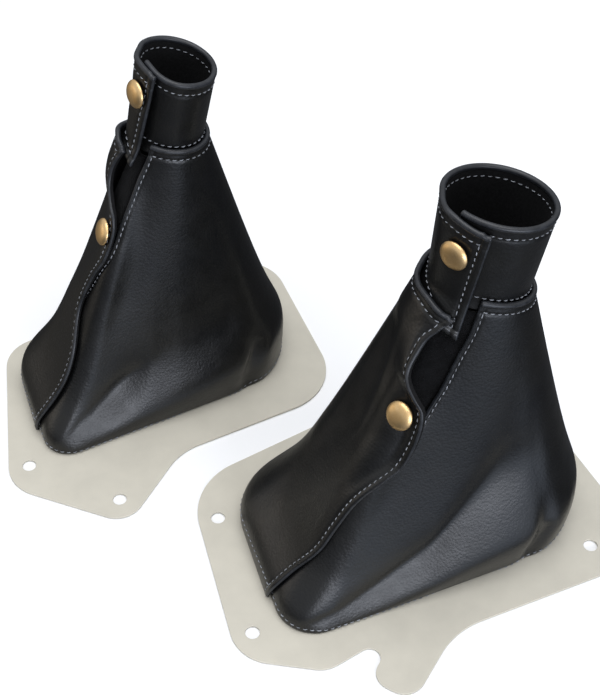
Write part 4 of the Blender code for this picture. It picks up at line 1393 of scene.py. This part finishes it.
def napped_suede(name, colour):
    """Black split suede: fuzzy, with brushed patches of 6 mm where its nap lies otherwise.

    It swallows light, and looks much darker than the leather. Its fuzz is drawn at 0.7 mm,
    coarser than the real fibres, which wouldn't show.
    """
    return clouded(
        name,
        {
            "Roughness": 1.0,
            "Specular IOR Level": 0.05,
            "Sheen Weight": 0.05,
            "Sheen Roughness": 0.5,
        },
        cloud={"Scale": per(6.25), "Detail": 5.0, "Roughness": 0.75},
        tints=(shade(colour, 0.5), shade(colour, 2.2)),
        bump={"Strength": 0.9, "Distance": 0.6 * MM},
        relief=(
            "ShaderNodeTexNoise", {"Scale": per(0.667), "Detail": 4.0, "Roughness": 0.8}
        ),
    )


def worn_brass(name, colour):
    """Stamped and polished brass, rubbed by handling: warm, with duller brown patches.

    The patches are 4 mm wide. The rubbing is drawn at 1.1 mm, because real scratches are
    too fine to show.
    """
    dull = (colour[0] * 0.86, colour[1] * 0.8, colour[2] * 0.7)
    return clouded(
        name,
        {"Metallic": 1.0},
        cloud={"Scale": per(3.85), "Detail": 4.0, "Roughness": 0.6},
        tints=(dull, tuple(colour)),
        bump={"Strength": 0.04, "Distance": 0.1 * MM},
        stops=(0.3, 0.6),
        roughness=(0.46, 0.36),
        relief=("ShaderNodeTexNoise", {"Scale": per(1.11), "Detail": 2.0}),
    )


def sheet_plastic(name, colour):
    """Off-white styrene sheet, press-cut: matt, with faint clouds of 18 mm.

    Its tooth is drawn at 0.9 mm, coarser than the real one of about 0.1 mm.
    """
    return clouded(
        name,
        {"IOR": 1.5, "Specular IOR Level": 0.3},
        cloud={"Scale": per(18.2), "Detail": 5.0, "Roughness": 0.6},
        tints=(shade(colour, 0.95), shade(colour, 1.03)),
        bump={"Strength": 0.08, "Distance": 0.2 * MM},
        roughness=(0.5, 0.62),
        relief=("ShaderNodeTexNoise", {"Scale": per(0.91), "Detail": 2.0}),
    )


def sewing_thread(name, colour):
    """Bonded polyester thread, light grey, soiled here and there, with plies 0.5 mm apart."""
    return clouded(
        name,
        {"Roughness": 0.6, "Specular IOR Level": 0.35},
        cloud={"Scale": per(4.17), "Detail": 3.0},
        tints=(shade(colour, 0.55), shade(colour, 1.1)),
        bump={"Strength": 0.3, "Distance": 0.1 * MM},
        relief=(
            "ShaderNodeTexWave",
            {
                "Scale": WAVE_REPEAT * per(0.518),
                "Distortion": 1.0,
                "bands_direction": "DIAGONAL",
            },
        ),
    )


def finish_of(kind, maker, colour):
    """The material of a kind, made once."""
    return bpy.data.materials.get(kind) or maker(kind, tuple(colour))


# ---------------------------------------------------------------------------
# Settings
# ---------------------------------------------------------------------------


def length_setting(name, description, millimetres):
    """A length in the panel, kept in metres."""
    return bpy.props.FloatProperty(
        name=name,
        description=description,
        default=millimetres * MM,
        subtype="DISTANCE",
        unit="LENGTH",
    )


def colour_setting(name, description, code):
    """A colour in the panel, from its hex code."""
    return bpy.props.FloatVectorProperty(
        name=name,
        description=description,
        default=linear(code),
        size=3,
        min=0.0,
        max=1.0,
        subtype="COLOR",
    )


def power_setting(name, description, watts):
    """A light's power in the panel."""
    return bpy.props.FloatProperty(
        name=name, description=description, default=watts, unit="POWER"
    )


class BootSizes(bpy.types.PropertyGroup):
    """What of the boots' sizes a user would change"""

    stitch_pitch: length_setting("Stitch pitch", "Distance from one stitch to the next", 3.1)
    stitch_share: bpy.props.FloatProperty(
        name="Stitch share",
        description="How much of the pitch a stitch shows above the leather",
        default=0.62,
        min=0.3,
        max=0.95,
        subtype="FACTOR",
    )
    thread: length_setting("Thread", "Thickness of the sewing thread", 0.46)
    cap_radius: length_setting("Snap radius", "Radius of the snaps' domed caps", CAP_RADIUS)
    plate: length_setting("Plate", "Thickness of the base plates", PLATE)


class BootColours(bpy.types.PropertyGroup):
    """The colour that each finish starts from"""

    leather: colour_setting("Leather", "Grain side of the leather", "0b0c0e")
    flesh: colour_setting("Flesh side", "Inner side of the leather", "0f0f10")
    # The edge paint is paler than the leather: real blue-black paint, made paler as a painted
    # sheen on the rolled edges
    edge: colour_setting("Edge paint", "Painted and rolled edges of the leather", "1b1d21")
    suede: colour_setting("Suede", "Strip under the opening", "070708")
    brass: colour_setting("Brass", "Caps of the snaps", "f3cf98")
    plate: colour_setting("Plate", "Base plates", "c5c0b2")
    thread: colour_setting("Thread", "Sewing thread", "8b8e94")
    floor: colour_setting("Floor", "Studio floor", "f8f8f8")


class BootStudio(bpy.types.PropertyGroup):
    """How bright the studio's lights are"""

    overhead: power_setting("Overhead", "Power of the soft overhead light", 13.0)
    side: power_setting("Side", "Power of the warm light at the left", 0.45)
    front: power_setting("Front", "Power of the wide light in front", 9.5)
    room: bpy.props.FloatProperty(
        name="Room", description="Strength of the light from all round", default=1.0
    )


# ---------------------------------------------------------------------------
# Operators
# ---------------------------------------------------------------------------


def finished(piece, node):
    """Hides the solid that a piece stands for, where there is one, and attaches the piece to
    the root that it rides on.
    """
    if node:
        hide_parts(node)
    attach(piece, "root")
    return piece


class BOOTS_OT_plates(bpy.types.Operator):
    """Cut the two base plates from sheet plastic, with their openings and screw holes"""

    bl_idname = "boots.plates"
    bl_label = "Base Plates"

    def execute(self, context):
        scene = context.scene
        material = finish_of("plate_styrene", sheet_plastic, scene.boot_colours.plate)
        for boot in BOOTS:
            plate = cut_plate(boot, scene.boot_sizes.plate)
            plate.data.materials.append(material)
            finished(plate, boot.name + "_plate")
        return {"FINISHED"}


# A plate's outline is rounded in these steps, its holes have this many sides, its edges
# are eased by this much, and below this angle, in degrees, it is shaded smooth
OUTLINE_STEP = 2.0
HOLE_SIDES = 40
EDGE_EASE = 0.15
PLATE_SMOOTH = 22


def inset_corners(corners, inset):
    """The corners of an outline that lies inside another by the inset."""
    middle_x = sum(corner.x for corner in corners) / len(corners)
    middle_y = sum(corner.y for corner in corners) / len(corners)
    for corner in corners:
        yield Corner(
            corner.x - inset * np.sign(corner.x - middle_x),
            corner.y - inset * np.sign(corner.y - middle_y),
            corner.radius - inset,
        )


def cut_plate(boot, thickness):
    """One plate: a flat outline with its holes, given its thickness and eased edges."""
    angles = np.linspace(0, 2 * np.pi, HOLE_SIDES, endpoint=False)
    ring = HOLE_RADIUS * np.stack([np.cos(angles), np.sin(angles)], -1)
    outlines = [
        rounded(boot.plate, OUTLINE_STEP),
        rounded(list(inset_corners(boot.hem, HEM_LEDGE)), OUTLINE_STEP),
        *(ring + np.array(hole) for hole in boot.holes),
    ]
    bpy.ops.object.select_all(action="DESELECT")
    bpy.ops.curve.primitive_bezier_circle_add(radius=HOLE_RADIUS * MM, location=(0, 0, 0))
    plate = bpy.context.object
    plate.name = boot.name + "_plate_sheet"
    curve = plate.data
    curve.name = plate.name
    curve.splines.clear()
    curve.dimensions = "2D"
    curve.fill_mode = "BOTH"
    eased = EDGE_EASE * MM
    curve.extrude = thickness / 2 - eased
    curve.bevel_depth = eased
    curve.bevel_resolution = 1
    curve.offset = -eased
    for outline in outlines:
        spline = curve.splines.new("POLY")
        spline.points.add(len(outline) - 1)
        for point, (x, y) in zip(spline.points, outline):
            point.co = (x * MM, y * MM, 0, 1)
        spline.use_cyclic_u = True
    bpy.ops.object.convert(target="MESH")
    plate = bpy.context.object
    plate.data.name = plate.name
    plate.data.transform(placement(boot) @ Matrix.Translation((0, 0, thickness / 2)))
    bpy.ops.object.mode_set(mode="EDIT")
    bpy.ops.mesh.select_all(action="SELECT")
    bpy.ops.mesh.remove_doubles(threshold=MERGE)
    bpy.ops.mesh.normals_make_consistent(inside=False)
    bpy.ops.object.mode_set(mode="OBJECT")
    bpy.ops.object.shade_smooth_by_angle(angle=math.radians(PLATE_SMOOTH))
    return plate


def leather_sides(context):
    """The leather's materials: grain side, inner side and edges."""
    colours = context.scene.boot_colours
    return (
        finish_of("calf_leather_pebbled", grain_leather, colours.leather),
        finish_of("calf_leather_flesh_side", flesh_side, colours.flesh),
        finish_of("edge_paint_blue_black", edge_paint_and_painted_sheen, colours.edge),
    )


class BOOTS_OT_skirts(bpy.types.Operator):
    """Wrap the two leather skirts, with their turned hems, rolled top edges and creases"""

    bl_idname = "boots.skirts"
    bl_label = "Skirts"

    def execute(self, context):
        for boot in BOOTS:
            leather, fullness = skirt_leather(boot)
            skirt = rolled_shell(
                boot,
                boot.name + "_skirt_leather",
                leather,
                fullness,
                0.0,
                *leather_sides(context),
            )
            finished(skirt, boot.name + "_skirt")
        return {"FINISHED"}


class BOOTS_OT_collars(bpy.types.Operator):
    """Wind the two collar bands, with their rolled rims and pointed tabs"""

    bl_idname = "boots.collars"
    bl_label = "Collars"

    def execute(self, context):
        for boot in BOOTS:
            leather, fullness = collar_leather(boot)
            collar = rolled_shell(
                boot,
                boot.name + "_collar_leather",
                leather,
                fullness,
                RIM_ROLL - LEATHER / 2,
                *leather_sides(context),
            )
            finished(collar, boot.name + "_collar")
        return {"FINISHED"}


class BOOTS_OT_underlaps(bpy.types.Operator):
    """Lay the two suede strips that close the skirts' openings from inside"""

    bl_idname = "boots.underlaps"
    bl_label = "Suede Strips"

    def execute(self, context):
        material = finish_of("split_suede", napped_suede, context.scene.boot_colours.suede)
        for boot in BOOTS:
            strip = suede_strip(boot, material)
            finished(strip, boot.name + "_underlap")
        return {"FINISHED"}


# The grid of a strip of suede: rows up it and columns across it
SUEDE_ROWS = 90
SUEDE_COLUMNS = 30


def suede_strip(boot, material):
    """One strip of suede, which lies against the inside of the skirt's single layer."""
    top = 1 - (COLLAR_TUCK + 3 * GAP) / boot.seam.z
    levels = np.linspace(0, top, SUEDE_ROWS)
    start = through(levels, boot.start_edge)
    reach = np.degrees(1 / wall_radius(boot, start, levels))
    length = SUEDE_HEM_REACH + (SUEDE_REACH - SUEDE_HEM_REACH) * levels
    first = start - np.minimum(length * reach, SUEDE_REACH_TURN)
    last = start + SUEDE_TUCK * reach
    share = np.linspace(0, 1, SUEDE_COLUMNS)[:, None]
    turn = first + (last - first) * share
    normal = wall_normal(boot, turn, levels)
    outer = wall(boot, turn, levels) - (LEATHER + SUEDE_GAP) * normal
    half = SUEDE / 2 * edge_fullness(np.minimum(*spans(outer, 0)), SUEDE)[..., None] * normal
    middle = outer - SUEDE / 2 * normal
    sections = np.concatenate([middle + half, (middle - half)[:, ::-1]], axis=1)
    return closed_shell(boot.name + "_underlap_suede", placed(boot, sections), 0, material)


# The cap's profile, from its turned-under edge to the top of its dome: shares of its
# radius and of its height
CAP_PROFILE = (
    (0.90, 0.0), (0.965, 0.03), (1.0, 0.11), (1.005, 0.21), (0.985, 0.32), (0.955, 0.42),
    (0.90, 0.55), (0.82, 0.68), (0.70, 0.80), (0.55, 0.90), (0.38, 0.96), (0.20, 0.99),
    (0.05, 1.0),
)
# How many sides a cap has, how near its points are one, in metres, and below what angle,
# in degrees, it is shaded smooth
CAP_SIDES = 48
CAP_MERGE = 1e-7
CAP_SMOOTH = 50


class BOOTS_OT_snaps(bpy.types.Operator):
    """Stamp the four brass snap caps and set them on the tabs and the flaps"""

    bl_idname = "boots.snaps"
    bl_label = "Snaps"

    def execute(self, context):
        scene = context.scene
        material = finish_of("brass_polished_worn", worn_brass, scene.boot_colours.brass)
        for boot in BOOTS:
            for name, (point, out, seat) in snap_seats(boot).items():
                cap = domed_cap(boot.name + "_" + name + "_cap", scene.boot_sizes.cap_radius)
                side = unit(np.cross(np.array([0.0, 0.0, 1.0]), out))
                top = np.cross(out, side)
                centre = (point + out * (seat + GAP)) * MM
                pose = Matrix([(*side, 0), (*top, 0), (*out, 0), (0, 0, 0, 1)]).transposed()
                pose.translation = Vector(centre)
                cap.data.transform(placement(boot) @ pose)
                cap.data.materials.append(material)
                finished(cap, boot.name + "_" + name + "_snap")
        return {"FINISHED"}


def domed_cap(name, radius):
    """A snap cap, raised ring by ring from a disc."""
    height = CAP_HEIGHT * MM
    bpy.ops.object.select_all(action="DESELECT")
    bpy.ops.mesh.primitive_circle_add(
        vertices=CAP_SIDES,
        radius=radius * CAP_PROFILE[0][0],
        fill_type="NGON",
        location=(0, 0, 0),
    )
    cap = bpy.context.object
    cap.name = name
    cap.data.name = name
    bpy.ops.object.mode_set(mode="EDIT")
    bpy.ops.mesh.select_all(action="SELECT")
    for (r_low, h_low), (r_high, h_high) in zip(CAP_PROFILE, CAP_PROFILE[1:]):
        bpy.ops.mesh.extrude_region_move(
            TRANSFORM_OT_translate={"value": (0, 0, (h_high - h_low) * height)}
        )
        grow = r_high / r_low
        bpy.ops.transform.resize(value=(grow, grow, 1), center_override=(0, 0, 0))
    bpy.ops.mesh.select_all(action="SELECT")
    bpy.ops.mesh.remove_doubles(threshold=CAP_MERGE)
    bpy.ops.mesh.normals_make_consistent(inside=False)
    bpy.ops.object.mode_set(mode="OBJECT")
    bpy.ops.object.shade_smooth_by_angle(angle=math.radians(CAP_SMOOTH))
    return cap


class BOOTS_OT_stitching(bpy.types.Operator):
    """Sew the seams and hems of the skirts and the collars"""

    bl_idname = "boots.stitching"
    bl_label = "Stitching"

    def execute(self, context):
        scene = context.scene
        material = finish_of("polyester_thread", sewing_thread, scene.boot_colours.thread)
        for boot in BOOTS:
            for part, seams in (("skirt", skirt_seams(boot)), ("collar", collar_seams(boot))):
                name = f"{boot.name}_{part}_stitches"
                sewn = seam_of_stitches(boot, name, seams, scene.boot_sizes, material)
                finished(sewn, None)
        return {"FINISHED"}


# The camera: where it stands in metres, its pitch, roll and heading in degrees, and its
# focal length as a share of the picture's height, which is the longer side
CAMERA_PLACE = (-0.18408, -0.40921, 0.552)
CAMERA_PITCH = 46.6
CAMERA_ROLL = 1.4
CAMERA_HEADING = -24.5
FOCAL_SHARE = 1450 / 695
SENSOR_MM = 36
NEAREST = 0.01

# The floor's side, and how far it lies under the plates, in metres
FLOOR_SIZE = 6.0
FLOOR_GAP = 0.0003

# The soft lights: the setting with each one's power, its place and size in metres and its
# colour. All are turned to the same point
Light = namedtuple("Light", "name place size colour")
LIGHTS = (
    Light("overhead", (0, -0.05, 1.3), (1.2, 1.2), "fbfcff"),
    Light("side", (-0.8, 0.4, 0.16), (0.5, 0.3), "fff0dc"),
    Light("front", (0.02, -1.3, 0.29), (1.0, 0.54), "eef3ff"),
)
LIGHT_AIM = (0, 0, 0.08)


class BOOTS_OT_stage(bpy.types.Operator):
    """Lay the pale floor, hang the soft lights and set up the camera"""

    bl_idname = "boots.stage"
    bl_label = "Stage"

    def execute(self, context):
        scene = context.scene
        scene.view_settings.view_transform = "Standard"
        studio = scene.boot_studio
        bpy.ops.object.select_all(action="DESELECT")
        bpy.ops.mesh.primitive_plane_add(size=FLOOR_SIZE, location=(0, 0, 0))
        floor = context.object
        floor.name = "studio_floor"
        floor.data.transform(Matrix.Translation((0, 0, -FLOOR_GAP)))
        paper = {
            "Base Color": (*scene.boot_colours.floor, 1),
            "Roughness": 0.9,
            "Specular IOR Level": 0.1,
        }
        floor.data.materials.append(new_material("floor_matt_paper", paper)[0])
        # Black leather mirrors a white floor too strongly, so it is kept out of reflections
        floor.visible_glossy = False

        scene.world = studio_room(studio.room)
        for light in LIGHTS:
            soft_light(light, getattr(studio, light.name))
        set_camera(scene)
        return {"FINISHED"}


# The room is dark but for these patches, which the leather mirrors, and the last of which
# is all that lies above the horizon: the direction of each one's middle, how many degrees
# from there its light ends and is full, and its colour
Wall = namedtuple("Wall", "direction ends full colour")
ROOM_DARK = (0.035, 0.035, 0.037, 1)
ROOM_WALLS = (
    Wall((-0.75, 0.45, -0.1), 48, 12, (0.18, 0.17, 0.15, 1)),
    Wall((-0.3, -0.95, -0.05), 60, 10, (0.25, 0.265, 0.3, 1)),
    Wall((0.29, -0.93, -0.2), 34, 6, (0.95, 1.08, 1.3, 1)),
    Wall((0, 0, -1), 65, 40, (0.12, 0.125, 0.135, 1)),
    Wall((0, 0, 1), 92, 80, (0.6, 0.62, 0.65, 1)),
)


def studio_room(strength):
    """The soft light from the room, which changes slowly from wall to wall."""
    world = bpy.data.worlds.new("studio_room")
    world.use_nodes = True
    view = add_node(world, "ShaderNodeTexCoord").outputs["Generated"]
    colour = None
    for patch in ROOM_WALLS:
        toward = add_node(world, "ShaderNodeVectorMath", {"operation": "DOT_PRODUCT"})
        world.node_tree.links.new(view, toward.inputs[0])
        toward.inputs[1].default_value = unit(np.array(patch.direction, float))
        share = add_node(
            world,
            "ShaderNodeMapRange",
            {
                "From Min": math.cos(math.radians(patch.ends)),
                "From Max": math.cos(math.radians(patch.full)),
                "interpolation_type": "SMOOTHSTEP",
            },
            {"Value": toward.outputs["Value"]},
        ).outputs["Result"]
        mix = add_node(
            world,
            "ShaderNodeMixRGB",
            {"Color1": ROOM_DARK, "Color2": patch.colour},
            {"Fac": share},
        )
        if colour:
            world.node_tree.links.new(colour, mix.inputs["Color1"])
        colour = mix.outputs["Color"]
    background = world.node_tree.nodes["Background"]
    set_node(world, background, {"Strength": strength}, {"Color": colour})
    return world


def soft_light(light, power):
    """A rectangular soft light, turned towards the boots."""
    data = bpy.data.lights.new(light.name + "_light", "AREA")
    data.shape = "RECTANGLE"
    data.size, data.size_y = light.size
    data.energy = power
    data.color = linear(light.colour)
    lamp = bpy.data.objects.new(data.name, data)
    bpy.context.scene.collection.objects.link(lamp)
    lamp.location = light.place
    ahead = Vector(LIGHT_AIM) - Vector(light.place)
    lamp.rotation_euler = ahead.to_track_quat("-Z", "Y").to_euler()


def set_camera(scene):
    """The camera, where the photographer stood."""
    pitch, roll, heading = map(math.radians, (CAMERA_PITCH, CAMERA_ROLL, CAMERA_HEADING))
    right = Vector((math.cos(heading), math.sin(heading), 0))
    level = Vector((-math.sin(heading), math.cos(heading), 0))
    ahead = level * math.cos(pitch) - Vector((0, 0, math.sin(pitch)))
    up = level * math.sin(pitch) + Vector((0, 0, math.cos(pitch)))
    rolled_right = right * math.cos(roll) + up * math.sin(roll)
    rolled_up = up * math.cos(roll) - right * math.sin(roll)
    data = bpy.data.cameras.new("camera")
    data.sensor_width = SENSOR_MM
    data.lens = FOCAL_SHARE * data.sensor_width
    data.clip_start = NEAREST
    camera = bpy.data.objects.new("camera", data)
    scene.collection.objects.link(camera)
    pose = Matrix((rolled_right, rolled_up, -ahead)).transposed().to_4x4()
    pose.translation = Vector(CAMERA_PLACE)
    camera.matrix_world = pose
    scene.camera = camera


class BOOTS_PT_panel(bpy.types.Panel):
    """The settings, and a button for each step"""

    bl_idname = "BOOTS_PT_panel"
    bl_label = "Lever Boots"
    bl_space_type = "VIEW_3D"
    bl_region_type = "UI"
    bl_category = "Boots"

    def draw(self, context):
        for settings in ("boot_sizes", "boot_colours", "boot_studio"):
            group = getattr(context.scene, settings)
            for key in group.bl_rna.properties.keys():
                if key not in {"rna_type", "name"}:
                    self.layout.prop(group, key)
        for step in STEPS:
            self.layout.operator(step.bl_idname)


STEPS = (
    BOOTS_OT_stage,
    BOOTS_OT_plates,
    BOOTS_OT_skirts,
    BOOTS_OT_underlaps,
    BOOTS_OT_collars,
    BOOTS_OT_snaps,
    BOOTS_OT_stitching,
)
GROUPS = {"boot_sizes": BootSizes, "boot_colours": BootColours, "boot_studio": BootStudio}


def register():
    """Adds the settings, the operators and the panel to Blender."""
    for group in (*GROUPS.values(), *STEPS, BOOTS_PT_panel):
        bpy.utils.register_class(group)
    for name, group in GROUPS.items():
        setattr(bpy.types.Scene, name, bpy.props.PointerProperty(type=group))


def unregister():
    """Takes them all away again."""
    for name in GROUPS:
        delattr(bpy.types.Scene, name)
    for group in reversed((*GROUPS.values(), *STEPS, BOOTS_PT_panel)):
        bpy.utils.unregister_class(group)


def main():
    """Makes the pair of boots."""
    register()
    for step in STEPS:
        area, name = step.bl_idname.split(".")
        getattr(getattr(bpy.ops, area), name)()


if __name__ == "__main__":
    main()
